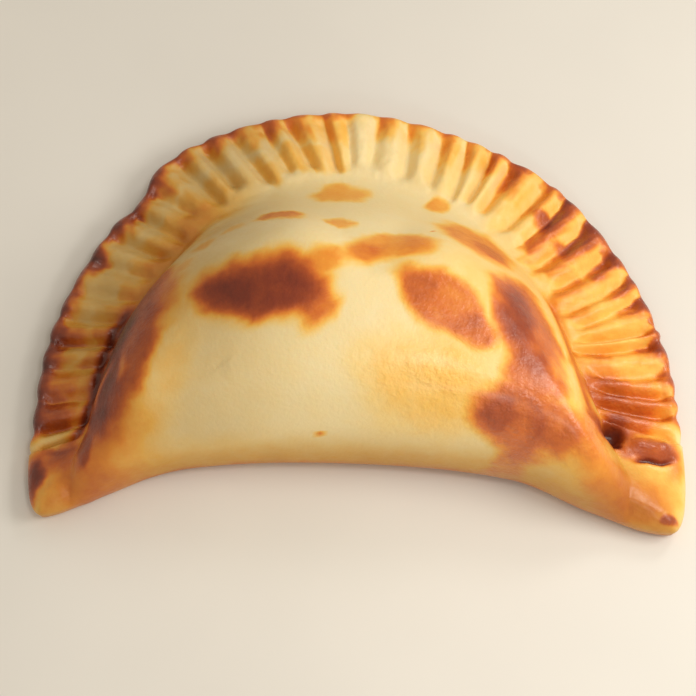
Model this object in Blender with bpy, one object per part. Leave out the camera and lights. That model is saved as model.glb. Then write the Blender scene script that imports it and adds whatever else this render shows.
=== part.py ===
"""A baked half-moon empanada with a fork-crimped rim, as one closed solid.

Metres, +Z up. The folded side faces -Y. The crimped rim runs round the back, from the right tip
to the left tip. The flat base rests on z = 0 and the middle of the footprint is at the origin.
"""
import math

import bmesh
import bpy
import numpy as np
from mathutils import Vector, noise

# The whole piece
HEIGHT = 0.036
CORE = (0.000, -0.002)              # plan position of the top of the dome, where all columns meet

# Plan outline, anticlockwise: the rim from the right tip round the back to the left tip, then the fold
RIM_POINTS = (
    (0.0622, -0.0436), (0.0651, -0.0388), (0.0650, -0.0242), (0.0619, -0.0030), (0.0523, 0.0177),
    (0.0377, 0.0345), (0.0179, 0.0448), (-0.0038, 0.0491), (-0.0256, 0.0457), (-0.0447, 0.0351),
    (-0.0568, 0.0154), (-0.0651, -0.0053), (-0.0670, -0.0270), (-0.0661, -0.0410),
)
FOLD_POINTS = (
    (-0.0630, -0.0452), (-0.0497, -0.0395), (-0.0339, -0.0345), (-0.0016, -0.0326), (0.0304, -0.0343),
    (0.0461, -0.0399),
)
SPAN_SAMPLES = 60                   # between each two of these points, and then evenly round the whole
OUTLINE_SAMPLES = 1400

# Rim: its stations run from 0 at the right tip to 1 at the left tip
RIM_STATIONS = (0.00, 0.05, 0.12, 0.28, 0.40, 0.50, 0.60, 0.75, 0.86, 0.93, 1.00)
RIM_WIDTHS = (0.0060, 0.0140, 0.0190, 0.0190, 0.0170, 0.0155, 0.0170, 0.0165, 0.0145, 0.0115, 0.0050)
RIM_LIFTS = (0.0006, 0.0006, 0.0008, 0.0012, 0.0018, 0.0026, 0.0028, 0.0028, 0.0024, 0.0014, 0.0006)
DOME_GAPS = (-0.0020, -0.0010, 0.0, 0.0, 0.0, 0.0, 0.0, 0.0, 0.0, 0.0, -0.0010)
DOME_RISES = (0.0200, 0.0210, 0.0200, 0.0270, 0.0380, 0.0410, 0.0390, 0.0260, 0.0200, 0.0200, 0.0200)
DOME_FILLETS = (1.20, 0.90, 0.70, 1.05, 1.60, 1.75, 1.60, 1.05, 0.70, 0.80, 1.20)
DOME_CROWN = 2.2                    # how early the dome reaches its full height
RIM_SAMPLES = 201                   # these measures are read at so many stations, blurred over a few
RIM_BLUR = 11
RIM_EDGE = 0.0040                   # thickness of the rim at its outer edge
RIM_EDGE_ROUND = 0.0022
RIM_SLOPE = 0.15                    # how fast the rim thickens inwards
DOME_FOOT = 0.0080                  # height at which the dome's own rise is counted from
DOME_FOOT_REACH = 0.014             # how far in from both sides the rim's slab has become that foot
RIM_LIFT_REACH = 0.014              # how far under the rim the base is raised
DENT_STATION = 0.711                # where the rim is dented inwards on the left, over how many stations
DENT_SPREAD = 0.021
DENT_DEPTH = 0.0021

# Crimps pressed with a fork: round ribs side by side, with a narrow crease between each two. These are
# the rim stations of the creases, from the right tip.
CREASE_STATIONS = (
    0.076, 0.100, 0.116, 0.136, 0.158, 0.176, 0.204, 0.224, 0.250, 0.283, 0.311, 0.330,
    0.366, 0.385, 0.407, 0.428, 0.458, 0.484, 0.512, 0.534, 0.563, 0.582, 0.611, 0.635,
    0.660, 0.699, 0.722, 0.749, 0.776, 0.804, 0.829, 0.852, 0.876, 0.902, 0.928, 0.946,
)
CREASE_DEPTH = 0.0022
CREASE_SHARPNESS = 3.4              # higher is narrower
CREASE_MEAN = 0.78                  # how deep the creases are on average, and two slow swings around that
CREASE_SWINGS = ((0.22, 1.7), (0.14, 0.61))
LAST_CREASE_SPREAD = 0.008          # rim stations over which the first and the last crease open to the lobes
CREASE_REACH = (0.80, 1.04)         # shares of the rim's width over which a crease runs out inwards
CREASE_REACH_SWING = (0.06, 97.0)   # how much that differs round the rim, and how fast
CREASE_EDGE = (0.0000, 0.0036)      # distances from the edge over which a crease gains its depth
RIB_SCALLOP = 0.0005                # how far a rib stands out past its creases at the edge
SCALLOP_SHARE = 0.20                # share of the way inwards over which that and the dent die out
BEND_STATIONS = (0.01, 0.09)        # stations over which the columns turn from the core to the ribs' aim
CRIMP_CENTRES = ((0.0105, -0.0140), (0.0015, -0.0265))  # where the ribs point, at the right and the left

# The two sides of the outline are read as lines that stop short of the tips and run straight on
SIDE_TRIM = 0.05
SIDE_RUN_ON = 0.060
RUN_ON_SAMPLES = 160
CALM = 110                          # samples either way over which the rim is calmed for the dome along it
SIDE_TANGENT = 4                    # samples over which their end direction is taken
TINY = 1e-9                         # keeps a share of two distances defined where both are 0

# Folded side: a round bolster without a rim
FOLD_MIDDLE_HEIGHT = 0.0090         # height of its widest line in the middle, and at the tips
FOLD_TIP_HEIGHT = 0.0026
FOLD_HEIGHT_FALL = 0.8
FOLD_RISE = 0.0280
FOLD_TIP_RISE = 0.0170
FOLD_CROWN = 2.2
FOLD_ROUND = 0.55
TAPER_LENGTH = 0.068                # distance from the middle at which the body has thinned to its share
TAPER_SHARE = 0.50

# Where the filling pushes the dough up: plan position, half sizes, turn in degrees, rise
SWELLINGS = (
    (-0.018, 0.000, 0.018, 0.010, -4, 0.0009),
    (0.019, -0.004, 0.012, 0.011, -35, 0.0009),
    (0.034, -0.008, 0.008, 0.014, 14, 0.0012),
    (0.030, -0.026, 0.011, 0.007, -12, 0.0009),
    (-0.044, -0.014, 0.006, 0.016, 8, 0.0010),
    (0.003, 0.014, 0.016, 0.006, 6, 0.0006),
    (0.054, -0.036, 0.011, 0.006, -35, 0.0028),
    (-0.057, -0.037, 0.008, 0.006, 40, 0.0024),
    (0.0580, -0.0264, 0.0054, 0.0021, -2, 0.0024),
)
SWELLING_FALL = 1.2
OVERHANG = 0.0022                   # how far the left flank leans out over its crease
OVERHANG_STATIONS = (0.66, 0.80, 0.90, 0.97)
OVERHANG_WIDTHS = (1.0, 1.35, 1.6, 2.6)
LUMP_SIZE = 0.026
LUMP_DEPTH = 0.0006

# A small split where steam burst out beside the last crimps
BURST_PLACE = (0.0498, -0.0246)
BURST_RADIUS = 0.0024
BURST_DEPTH = 0.0036

# Mesh
BATCH = 2000                        # plan points measured at a time
COLUMNS_PER_RIB = 8
COLUMN_BEND = 0.25                  # share of its way at which a column turns to the core
LOBE_COLUMNS = 18
FOLD_COLUMNS = 84
EDGE_SHARE = 0.08                   # shares of the way inwards that end the edge's rings and the rim's rings
RIM_SHARE = 0.46
BASE_SHARE = 0.38
BASE_SPREAD = 1.6
FOLD_COLUMN_MARGIN = 0.12
EDGE_RINGS = 5
RIM_RINGS = 13
DOME_RINGS = 15
BASE_RINGS = 6
KEPT_SHARE = 0.36                   # share of the triangles that the decimation keeps
BASE_CUT = 0.0003                   # depth below z = 0 that the base bulges and is sliced off


def clear_scene():
    """Removes what the startup file holds."""
    for item in list(bpy.data.objects):
        bpy.data.objects.remove(item, do_unlink=True)


def smooth(low, high, value):
    """0 below low, 1 above high, and an even S between."""
    share = np.clip((value - low) / (high - low), 0.0, 1.0)
    return share * share * (3.0 - 2.0 * share)


def quarter_round(share):
    """Height of a quarter circle that starts upright at 0 and is level from 1."""
    return np.sqrt(1.0 - (1.0 - np.clip(share, 0.0, 1.0)) ** 2)


def swell(share, crown, foot):
    """Rise of puffed dough from its foot at 0 to its crown at 1."""
    return (1.0 - (1.0 - np.clip(share, 0.0, 1.0)) ** crown) ** foot


class Outline:
    """The closed plan outline, as a spline through its points that is read by length."""

    def __init__(self):
        points = np.array(RIM_POINTS + FOLD_POINTS)
        count = len(points)
        steps = np.linalg.norm(np.roll(points, -1, 0) - points, axis=1)
        slopes = (np.roll(points, -1, 0) - np.roll(points, 1, 0)) / (steps + np.roll(steps, 1))[:, None]
        share = np.linspace(0.0, 1.0, SPAN_SAMPLES, endpoint=False)[:, None]
        spans = []
        for i in range(count):
            j = (i + 1) % count
            spans.append(
                (1 + 2 * share) * (1 - share) ** 2 * points[i]
                + share * (1 - share) ** 2 * steps[i] * slopes[i]
                + share ** 2 * (3 - 2 * share) * points[j]
                + share ** 2 * (share - 1) * steps[i] * slopes[j]
            )
        fine = np.concatenate(spans + [points[:1]])
        lengths = np.concatenate([[0.0], np.cumsum(np.linalg.norm(np.diff(fine, axis=0), axis=1))])
        self.length = lengths[-1]
        self.rim_length = lengths[SPAN_SAMPLES * len(RIM_POINTS)]
        self.places = np.linspace(0.0, self.length, OUTLINE_SAMPLES, endpoint=False)
        self.points = np.stack([np.interp(self.places, lengths, fine[:, k]) for k in (0, 1)], axis=1)
        along = np.roll(self.points, -1, 0) - np.roll(self.points, 1, 0)
        along /= np.linalg.norm(along, axis=1)[:, None]
        self.inward = np.stack([-along[:, 1], along[:, 0]], axis=1)

    def read(self, values, place):
        """One of the outline's sampled arrays at these lengths along it."""
        around = np.append(self.places, self.length)
        closed = np.concatenate([values, values[:1]])
        return np.stack([np.interp(place % self.length, around, closed[:, k]) for k in (0, 1)], axis=-1)

    def side_line(self, first, last, whole):
        """Part of the outline as a line that runs straight on past both its ends, and the share at each point."""
        near = (self.places >= first) & (self.places <= last)
        points = self.points[near]
        shares = (self.places[near] - whole[0]) / (whole[1] - whole[0])
        back_out = points[0] - points[SIDE_TANGENT]
        on_out = points[-1] - points[-1 - SIDE_TANGENT]
        steps = np.linspace(0.0, SIDE_RUN_ON, RUN_ON_SAMPLES)[1:, None]
        before = points[0] + back_out / np.linalg.norm(back_out) * steps[::-1]
        after = points[-1] + on_out / np.linalg.norm(on_out) * steps
        flat = np.ones(len(steps))
        line = np.concatenate([before, points, after])
        return line, np.concatenate([shares[0] * flat, shares, shares[-1] * flat])

    def calmed(self, line):
        """The same line without its tighter bends, so that the body that rises along it has no ridges."""
        kernel = np.hanning(2 * CALM + 1)
        padded = np.pad(line, ((CALM, CALM), (0, 0)), mode="reflect", reflect_type="odd")
        return np.stack([np.convolve(padded[:, k], kernel / kernel.sum(), mode="valid") for k in (0, 1)], axis=1)

    def sides(self, plan):
        """Each plan point's distance from a side and share along it: the rim, the fold, the calmed rim."""
        rim, whole = self.rim_length, self.length
        fold = whole - rim
        rim_side = self.side_line(SIDE_TRIM * rim, (1 - SIDE_TRIM) * rim, (0.0, rim))
        fold_side = self.side_line(rim + SIDE_TRIM * fold, whole - SIDE_TRIM * fold, (rim, whole))
        calm_side = (self.calmed(rim_side[0]), rim_side[1])
        return [nearest_on_line(plan, line, shares) for line, shares in (rim_side, fold_side, calm_side)]

    def from_edge(self, plan):
        """Each plan point's distance from the outline itself."""
        closed = np.concatenate([self.points, self.points[:1]])
        return nearest_on_line(plan, closed, np.zeros(len(closed)))[0]


def nearest_on_line(plan, line, shares):
    """Distance of each plan point from a line of points, and the line's share value at the nearest place."""
    start, span = line[:-1], np.diff(line, axis=0)
    away = np.empty(len(plan))
    nearest = np.empty(len(plan))
    for first in range(0, len(plan), BATCH):
        some = plan[first:first + BATCH]
        gap = some[:, None, :] - start[None]
        along = np.clip((gap * span).sum(2) / (span * span).sum(1), 0.0, 1.0)
        gap -= along[:, :, None] * span
        square = (gap * gap).sum(2)
        best = square.argmin(1)
        rows = np.arange(len(some))
        away[first:first + BATCH] = np.sqrt(square[rows, best])
        place = along[rows, best]
        nearest[first:first + BATCH] = shares[best] * (1 - place) + shares[best + 1] * place
    return away, nearest


def column_places(outline):
    """Lengths along the outline at which the mesh has its columns: dense on the crimps."""
    rim, whole = outline.rim_length, outline.length
    creases = np.arange(len(CREASE_STATIONS))
    numbers = np.linspace(0, creases[-1], creases[-1] * COLUMNS_PER_RIB + 1)
    crimped = rim * np.interp(numbers, creases, CREASE_STATIONS)
    fold_turn = np.linspace(FOLD_COLUMN_MARGIN, math.pi - FOLD_COLUMN_MARGIN, FOLD_COLUMNS)
    parts = (
        np.linspace(0.0, crimped[0], LOBE_COLUMNS, endpoint=False),
        crimped,
        np.linspace(rim, crimped[-1], LOBE_COLUMNS, endpoint=False)[::-1],
        rim + (whole - rim) * (1 - np.cos(fold_turn)) / 2,
    )
    return np.concatenate(parts)


def ring_shares():
    """Shares of the way from the edge (0) to the core (1), from the core outwards and then under."""
    edge = EDGE_SHARE * (1 - np.cos(np.linspace(0, math.pi / 2, EDGE_RINGS, endpoint=False)))
    rim = np.linspace(EDGE_SHARE, RIM_SHARE, RIM_RINGS, endpoint=False)
    dome = np.linspace(RIM_SHARE, 1.0, DOME_RINGS, endpoint=False)
    top = np.concatenate([edge, rim, dome])[::-1]
    base = BASE_SHARE * (np.arange(1, BASE_RINGS + 1) / BASE_RINGS) ** BASE_SPREAD
    return top, base


def crease_depth(station):
    """0 on the crest of each rib and up to 1 in the creases beside it, by rim station."""
    number = np.interp(station, CREASE_STATIONS, np.arange(len(CREASE_STATIONS)))
    crease = ((1 + np.cos(2 * math.pi * number)) / 2) ** CREASE_SHARPNESS
    uneven = CREASE_MEAN + sum(size * np.sin(number * rate) for size, rate in CREASE_SWINGS)
    before = smooth(CREASE_STATIONS[0] - LAST_CREASE_SPREAD, CREASE_STATIONS[0], station)
    after = smooth(CREASE_STATIONS[-1], CREASE_STATIONS[-1] + LAST_CREASE_SPREAD, station)
    return crease * uneven * before * (1 - after)


def swellings(plan):
    """Height that the pushed-up places add."""
    rise = np.zeros(len(plan))
    for x, y, half_x, half_y, degrees, height in SWELLINGS:
        turn = math.radians(degrees)
        dx, dy = plan[:, 0] - x, plan[:, 1] - y
        across = (dx * math.cos(turn) + dy * math.sin(turn)) / half_x
        along = (dy * math.cos(turn) - dx * math.sin(turn)) / half_y
        rise += height * np.exp(-(across ** 2 + along ** 2) * SWELLING_FALL)
    return rise


def lumps(places):
    """Slow unevenness of hand-folded dough, from -1 to 1 at each place."""
    return np.array([noise.noise(Vector(place) / LUMP_SIZE) for place in places])


def rim_value(values, station):
    """One of the rim's measures, run smoothly through its stations."""
    fine = np.linspace(0.0, 1.0, RIM_SAMPLES)
    kernel = np.hanning(2 * RIM_BLUR + 1)
    drawn = np.interp(fine, RIM_STATIONS, values)
    padded = np.pad(drawn, RIM_BLUR, mode="edge")
    return np.interp(station, fine, np.convolve(padded, kernel / kernel.sum(), mode="valid"))


def form_dough(outline, place, share, under):
    """Positions on the empanada for outline lengths, inward shares, and whether each is under the edge."""
    column = np.clip(place / outline.rim_length, 0.0, 1.0)
    rim_column = (place <= outline.rim_length) * 1.0
    crease = crease_depth(column) * rim_column

    # Columns leave the edge along the ribs, and bend to the core
    start = outline.read(outline.points, place)
    inward = outline.read(outline.inward, place)
    reach = np.linalg.norm(np.array(CORE) - start, axis=1)
    right, left = np.array(CRIMP_CENTRES)
    bend = (smooth(*BEND_STATIONS, column) * smooth(*BEND_STATIONS, 1 - column) * rim_column)[:, None]
    aim = bend * (right + (left - right) * column[:, None]) + (1 - bend) * np.array(CORE)
    heading = (aim - start) / np.linalg.norm(aim - start, axis=1)[:, None]
    middle = start + heading * (COLUMN_BEND * reach)[:, None]
    a, b, c = ((1 - share) ** 2)[:, None], (2 * share * (1 - share))[:, None], (share ** 2)[:, None]
    plan = a * start + b * middle + c * np.array(CORE)

    (from_rim, station), (from_fold, fold_share), (from_calm, calm_station) = outline.sides(plan)
    from_edge = outline.from_edge(plan)
    on_fold = smooth(0.2, 0.8, from_rim / (from_rim + from_fold + TINY))
    from_both = from_rim * from_fold / (from_rim + from_fold + TINY)
    lift = rim_value(RIM_LIFTS, station)
    width = rim_value(RIM_WIDTHS, station)
    fold_swell = np.sin(math.pi * fold_share) ** FOLD_HEIGHT_FALL
    fold_height = FOLD_TIP_HEIGHT + (FOLD_MIDDLE_HEIGHT - FOLD_TIP_HEIGHT) * fold_swell
    edge_height = (1 - on_fold) * (lift + RIM_EDGE / 2) + on_fold * fold_height

    # Upper side: the rim's own slab, the dome, the swellings, then the creases
    slab = RIM_EDGE / 2 * quarter_round(from_edge / RIM_EDGE_ROUND) + RIM_SLOPE * np.minimum(from_both, width)
    inside = smooth(0.15, 1.0, from_both / DOME_FOOT_REACH)
    upper = (edge_height + slab) * (1 - inside) + DOME_FOOT * inside
    from_foot = from_calm - rim_value(RIM_WIDTHS, calm_station) - rim_value(DOME_GAPS, calm_station)
    towards_tip = (1 - np.cos(math.pi * np.clip(plan[:, 0] / TAPER_LENGTH, -1, 1))) / 2
    taper = 1 - (1 - TAPER_SHARE) * towards_tip
    fold_rise = FOLD_RISE + (FOLD_TIP_RISE - FOLD_RISE) * towards_tip
    rise, fillet = rim_value(DOME_RISES, calm_station), rim_value(DOME_FILLETS, calm_station)
    back = swell(from_foot / rise, DOME_CROWN, fillet)
    front = swell(from_fold / fold_rise, FOLD_CROWN, FOLD_ROUND)
    upper += (HEIGHT - DOME_FOOT) * taper * back * front
    upper += swellings(plan) * smooth(0.0, 0.004, from_edge)
    reach_swing, reach_rate = CREASE_REACH_SWING
    run_in = from_rim / width / (1 + reach_swing * np.sin(column * reach_rate))
    fade = smooth(*CREASE_EDGE, from_edge) * (1 - smooth(*CREASE_REACH, run_in))
    upper -= CREASE_DEPTH * crease * fade

    # Under side: rounded below the edge, raised under the rim, flat elsewhere
    edge_round = (1 - on_fold) * RIM_EDGE_ROUND + on_fold * edge_height
    raised = lift * (1 - smooth(0.0, RIM_LIFT_REACH, from_edge)) * (1 - on_fold)
    lower = raised + (edge_height - raised) * (1 - quarter_round(from_edge / edge_round)) - BASE_CUT

    # The left flank leans out, the creases notch the edge, and the whole top is a little uneven
    lean = OVERHANG * smooth(*OVERHANG_STATIONS[:2], station) * (1 - smooth(*OVERHANG_STATIONS[2:], station))
    widths_in = from_rim / width
    flank = smooth(*OVERHANG_WIDTHS[:2], widths_in) * (1 - smooth(*OVERHANG_WIDTHS[2:], widths_in))
    dent = DENT_DEPTH * np.exp(-((column - DENT_STATION) / DENT_SPREAD) ** 2)
    notch = (RIB_SCALLOP * crease + dent) * (1 - smooth(0.0, SCALLOP_SHARE, share))
    plan = plan - inward * (lean * flank - notch)[:, None]
    form = np.column_stack([plan, np.where(under, lower, upper)])
    uneven = LUMP_DEPTH * lumps(form) * smooth(0.002, 0.010, form[:, 2])
    form[:, 2] += np.where(under, 0.0, uneven)
    away = np.hypot(form[:, 0] - BURST_PLACE[0], form[:, 1] - BURST_PLACE[1]) / BURST_RADIUS
    form[:, 2] -= np.where(under, 0.0, BURST_DEPTH * np.exp(-away ** 4))
    return form


def shape_ball(item, outline):
    """Moves each vertex of the ball to its place on the empanada, by the vertex's column and ring."""
    places = column_places(outline)
    top, base = ring_shares()
    shares = np.concatenate([top, base])
    below = np.arange(len(shares)) >= len(top)
    mesh = item.data
    count = len(mesh.vertices)
    ball = np.empty(count * 3)
    mesh.vertices.foreach_get("co", ball)
    ball = ball.reshape(-1, 3)
    rows = len(shares) + 1
    row = np.rint(np.arccos(np.clip(ball[:, 2], -1, 1)) / math.pi * rows).astype(int)
    column = np.rint(np.arctan2(ball[:, 1], ball[:, 0]) / (2 * math.pi) * len(places)).astype(int) % len(places)
    pole = (row == 0) | (row == rows)
    ring = np.clip(row - 1, 0, len(shares) - 1)
    share = np.where(pole, 1.0, shares[ring])
    under = np.where(row == rows, True, below[ring] & (row > 0))
    form = form_dough(outline, places[column], share, under)
    mesh.vertices.foreach_set("co", form.ravel())
    mesh.update()


def make_ball(columns, rows):
    """A ball with this many columns and rows of faces, ready to be shaped."""
    mesh = bpy.data.meshes.new("empanada")
    ball = bmesh.new()
    bmesh.ops.create_uvsphere(ball, u_segments=columns, v_segments=rows, radius=1.0)
    ball.to_mesh(mesh)
    ball.free()
    return bpy.data.objects.new("empanada", mesh)


def slice_base(item):
    """Slices the base off level at z = 0, so that it rests on a true flat."""
    body = bmesh.new()
    body.from_mesh(item.data)
    bmesh.ops.recalc_face_normals(body, faces=body.faces[:])
    everything = body.verts[:] + body.edges[:] + body.faces[:]
    cut = bmesh.ops.bisect_plane(
        body, geom=everything, dist=1e-6, plane_co=(0, 0, 0), plane_no=(0, 0, 1), clear_inner=True
    )
    rim = [part for part in cut["geom_cut"] if isinstance(part, bmesh.types.BMEdge)]
    bmesh.ops.contextual_create(body, geom=rim)
    bmesh.ops.recalc_face_normals(body, faces=body.faces[:])
    body.to_mesh(item.data)
    body.free()


def centre_on_origin(item):
    """Puts the middle of the footprint at the origin."""
    points = np.array([vertex.co for vertex in item.data.vertices])
    middle = (points.min(0) + points.max(0)) / 2
    for vertex in item.data.vertices:
        vertex.co.x -= middle[0]
        vertex.co.y -= middle[1]


def thin_mesh(item, share):
    """Thins the mesh with a Decimate modifier, which keeps the crimps and spares the smooth dome."""
    thin = item.modifiers.new("thin", "DECIMATE")
    thin.decimate_type = "COLLAPSE"
    thin.ratio = share
    graph = bpy.context.evaluated_depsgraph_get()
    thinned = bpy.data.meshes.new_from_object(item.evaluated_get(graph))
    item.modifiers.clear()
    spare = item.data
    item.data = thinned
    bpy.data.meshes.remove(spare)
    item.data.name = "empanada"


def crust_material():
    """Egg-washed dough, baked golden."""
    material = bpy.data.materials.new("baked_crust")
    material.use_nodes = True
    shader = material.node_tree.nodes["Principled BSDF"]
    shader.inputs["Base Color"].default_value = (0.74, 0.42, 0.15, 1.0)
    shader.inputs["Roughness"].default_value = 0.45
    shader.inputs["Metallic"].default_value = 0.0
    return material


def main():
    clear_scene()
    holder = bpy.data.collections.new("empanada")
    bpy.context.scene.collection.children.link(holder)
    outline = Outline()
    columns = len(column_places(outline))
    top, base = ring_shares()
    item = make_ball(columns, len(top) + len(base) + 1)
    holder.objects.link(item)
    shape_ball(item, outline)
    thin_mesh(item, KEPT_SHARE)
    slice_base(item)
    centre_on_origin(item)
    item.data.materials.append(crust_material())
    item.data.shade_smooth()


main()
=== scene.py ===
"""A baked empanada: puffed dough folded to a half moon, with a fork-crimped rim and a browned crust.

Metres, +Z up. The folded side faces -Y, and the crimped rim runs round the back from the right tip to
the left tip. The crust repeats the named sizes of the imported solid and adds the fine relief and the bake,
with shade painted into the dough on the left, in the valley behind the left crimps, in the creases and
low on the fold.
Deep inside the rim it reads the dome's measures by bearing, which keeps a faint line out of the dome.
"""
import logging
import math
from dataclasses import dataclass, field
from enum import Enum
from typing import Sequence

import bpy
import numpy as np
from mathutils import Matrix, Vector, kdtree, noise


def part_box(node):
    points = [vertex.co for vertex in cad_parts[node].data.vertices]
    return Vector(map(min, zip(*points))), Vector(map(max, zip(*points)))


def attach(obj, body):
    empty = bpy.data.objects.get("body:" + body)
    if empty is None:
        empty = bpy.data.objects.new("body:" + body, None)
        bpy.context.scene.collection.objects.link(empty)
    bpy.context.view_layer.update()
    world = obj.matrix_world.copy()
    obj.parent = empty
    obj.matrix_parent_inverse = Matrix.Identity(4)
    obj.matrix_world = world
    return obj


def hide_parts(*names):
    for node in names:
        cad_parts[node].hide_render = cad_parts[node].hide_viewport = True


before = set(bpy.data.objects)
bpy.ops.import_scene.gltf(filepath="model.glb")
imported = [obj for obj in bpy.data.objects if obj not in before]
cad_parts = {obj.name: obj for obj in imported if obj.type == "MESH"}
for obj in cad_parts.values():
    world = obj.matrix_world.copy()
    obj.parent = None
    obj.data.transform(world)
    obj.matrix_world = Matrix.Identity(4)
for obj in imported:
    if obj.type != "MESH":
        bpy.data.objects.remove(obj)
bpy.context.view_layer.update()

LOG = logging.getLogger("empanada")
NODE = "empanada"
BODY = "root"
MM = 0.001
TINY = 1e-9                          # keeps a share of two distances defined where both are 0
SEED_SHIFT = (1.0, -1.0, 0.5)        # the way that a seed shifts a pattern

Row = tuple[float, ...]
Pair = tuple[float, float]
Colour = tuple[float, float, float]
Stops = tuple[tuple[float, Colour], ...]


def smooth(low: float, high: float, value: np.ndarray) -> np.ndarray:
    """An even S from 0 to 1.

    Args:
        low: where the S starts.
        high: where it ends.
        value: the values to read it at.

    Returns:
        0 below low, 1 above high, and the S between.
    """
    share = np.clip((value - low) / (high - low), 0.0, 1.0)
    return share * share * (3.0 - 2.0 * share)


def bearing(steps: np.ndarray) -> np.ndarray:
    """Direction of each plan step, in radians from -pi/2 anticlockwise."""
    return np.mod(np.arctan2(steps[:, 1], steps[:, 0]) + math.pi / 2, 2 * math.pi) - math.pi / 2


def quarter_round(share: np.ndarray) -> np.ndarray:
    """Height of a quarter circle that starts upright at 0 and is level from 1."""
    return np.sqrt(1.0 - (1.0 - np.clip(share, 0.0, 1.0)) ** 2)


def swell(share: np.ndarray, crown: float, foot: np.ndarray | float) -> np.ndarray:
    """Rise of puffed dough from its foot at 0 to its crown at 1."""
    return (1.0 - (1.0 - np.clip(share, 0.0, 1.0)) ** crown) ** foot


def unevenness(points: np.ndarray, size: float, seed: float = 0.0) -> np.ndarray:
    """Slow, even-handed unevenness.

    Args:
        points: positions in metres.
        size: distance over which it changes.
        seed: shifts the pattern, so that two of the same size differ.

    Returns:
        A value from -1 to 1 at each point.
    """
    shifted = points / size + seed * np.array(SEED_SHIFT)
    return np.array([noise.noise(point) for point in shifted.tolist()])


def nearest_on_line(plan: np.ndarray, line: np.ndarray, shares: np.ndarray) -> tuple[np.ndarray, np.ndarray]:
    """Finds the nearest place on an evenly sampled line for each plan point.

    Args:
        plan: plan points.
        line: the line's points.
        shares: the line's share value at each of its points.

    Returns:
        The distance of each plan point, and the share value at its nearest place.
    """
    tree = kdtree.KDTree(len(line))
    for index, (x, y) in enumerate(line):
        tree.insert((x, y, 0.0), index)
    tree.balance()
    near = np.array([tree.find((x, y, 0.0))[1] for x, y in plan.tolist()])
    away = np.full(len(plan), np.inf)
    nearest = np.zeros(len(plan))
    for first in (near - 1, near):
        first = np.clip(first, 0, len(line) - 2)
        start, span = line[first], line[first + 1] - line[first]
        along = np.clip(((plan - start) * span).sum(1) / ((span * span).sum(1) + TINY ** 2), 0.0, 1.0)
        gap = np.linalg.norm(plan - start - along[:, None] * span, axis=1)
        closer = gap < away
        away = np.where(closer, gap, away)
        nearest = np.where(closer, shares[first] * (1 - along) + shares[first + 1] * along, nearest)
    return away, nearest


@dataclass(frozen=True)
class PlanPoints:
    """Plan outline, anticlockwise: the rim from the right tip round the back, then the folded side."""

    core: Pair = (0.000, -0.002)
    rim: tuple[Pair, ...] = (
        (0.0622, -0.0436), (0.0651, -0.0388), (0.0650, -0.0242), (0.0619, -0.0030), (0.0523, 0.0177),
        (0.0377, 0.0345), (0.0179, 0.0448), (-0.0038, 0.0491), (-0.0256, 0.0457), (-0.0447, 0.0351),
        (-0.0568, 0.0154), (-0.0651, -0.0053), (-0.0670, -0.0270), (-0.0661, -0.0410),
    )
    fold: tuple[Pair, ...] = (
        (-0.0630, -0.0452), (-0.0497, -0.0395), (-0.0339, -0.0345), (-0.0016, -0.0326),
        (0.0304, -0.0343), (0.0461, -0.0399),
    )
    span_samples: int = 60
    samples: int = 1400


@dataclass(frozen=True)
class RimSizes:
    """Measures of the rim, read along its stations from 0 at the right tip to 1 at the left tip."""

    stations: Row = (0.00, 0.05, 0.12, 0.28, 0.40, 0.50, 0.60, 0.75, 0.86, 0.93, 1.00)
    widths: Row = (0.0060, 0.0140, 0.0190, 0.0190, 0.0170, 0.0155, 0.0170, 0.0165, 0.0145, 0.0115, 0.0050)
    lifts: Row = (0.0006, 0.0006, 0.0008, 0.0012, 0.0018, 0.0026, 0.0028, 0.0028, 0.0024, 0.0014, 0.0006)
    gaps: Row = (-0.0020, -0.0010, 0.0, 0.0, 0.0, 0.0, 0.0, 0.0, 0.0, 0.0, -0.0010)
    rises: Row = (0.0200, 0.0210, 0.0200, 0.0270, 0.0380, 0.0410, 0.0390, 0.0260, 0.0200, 0.0200, 0.0200)
    fillets: Row = (1.20, 0.90, 0.70, 1.05, 1.60, 1.75, 1.60, 1.05, 0.70, 0.80, 1.20)
    samples: int = 201
    blur: int = 11
    edge: float = 0.0040
    edge_round: float = 0.0022
    slope: float = 0.15
    lift_reach: float = 0.014
    dent_station: float = 0.711
    dent_spread: float = 0.021
    dent_depth: float = 0.0021

    def read(self, values: Row, station: np.ndarray | float) -> np.ndarray | float:
        """One of the measures, run smoothly through its stations.

        Args:
            values: the measure at each of its stations.
            station: rim stations to read it at.

        Returns:
            The measure at each of them.
        """
        fine = np.linspace(0.0, 1.0, self.samples)
        kernel = np.hanning(2 * self.blur + 1)
        padded = np.pad(np.interp(fine, self.stations, values), self.blur, mode="edge")
        return np.interp(station, fine, np.convolve(padded, kernel / kernel.sum(), mode="valid"))


@dataclass(frozen=True)
class Rib:
    """A rib between two creases, and how it is baked.

    Its right-hand crease runs from one rim station at the edge to another at its inner end. Brown is the
    bake of its left slope out to its reach, partly browning and partly painted shade where that slope turns
    from the key light; pale is that of its right slope, and deep that of its inner end, again partly
    browning and partly painted shade.
    """

    crease: float
    crease_inner: float
    brown_and_shade: float
    reach: float
    pale: float
    deep: float


# In each row the left-slope and inner-end levels are partly browning and partly painted shade.
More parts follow.
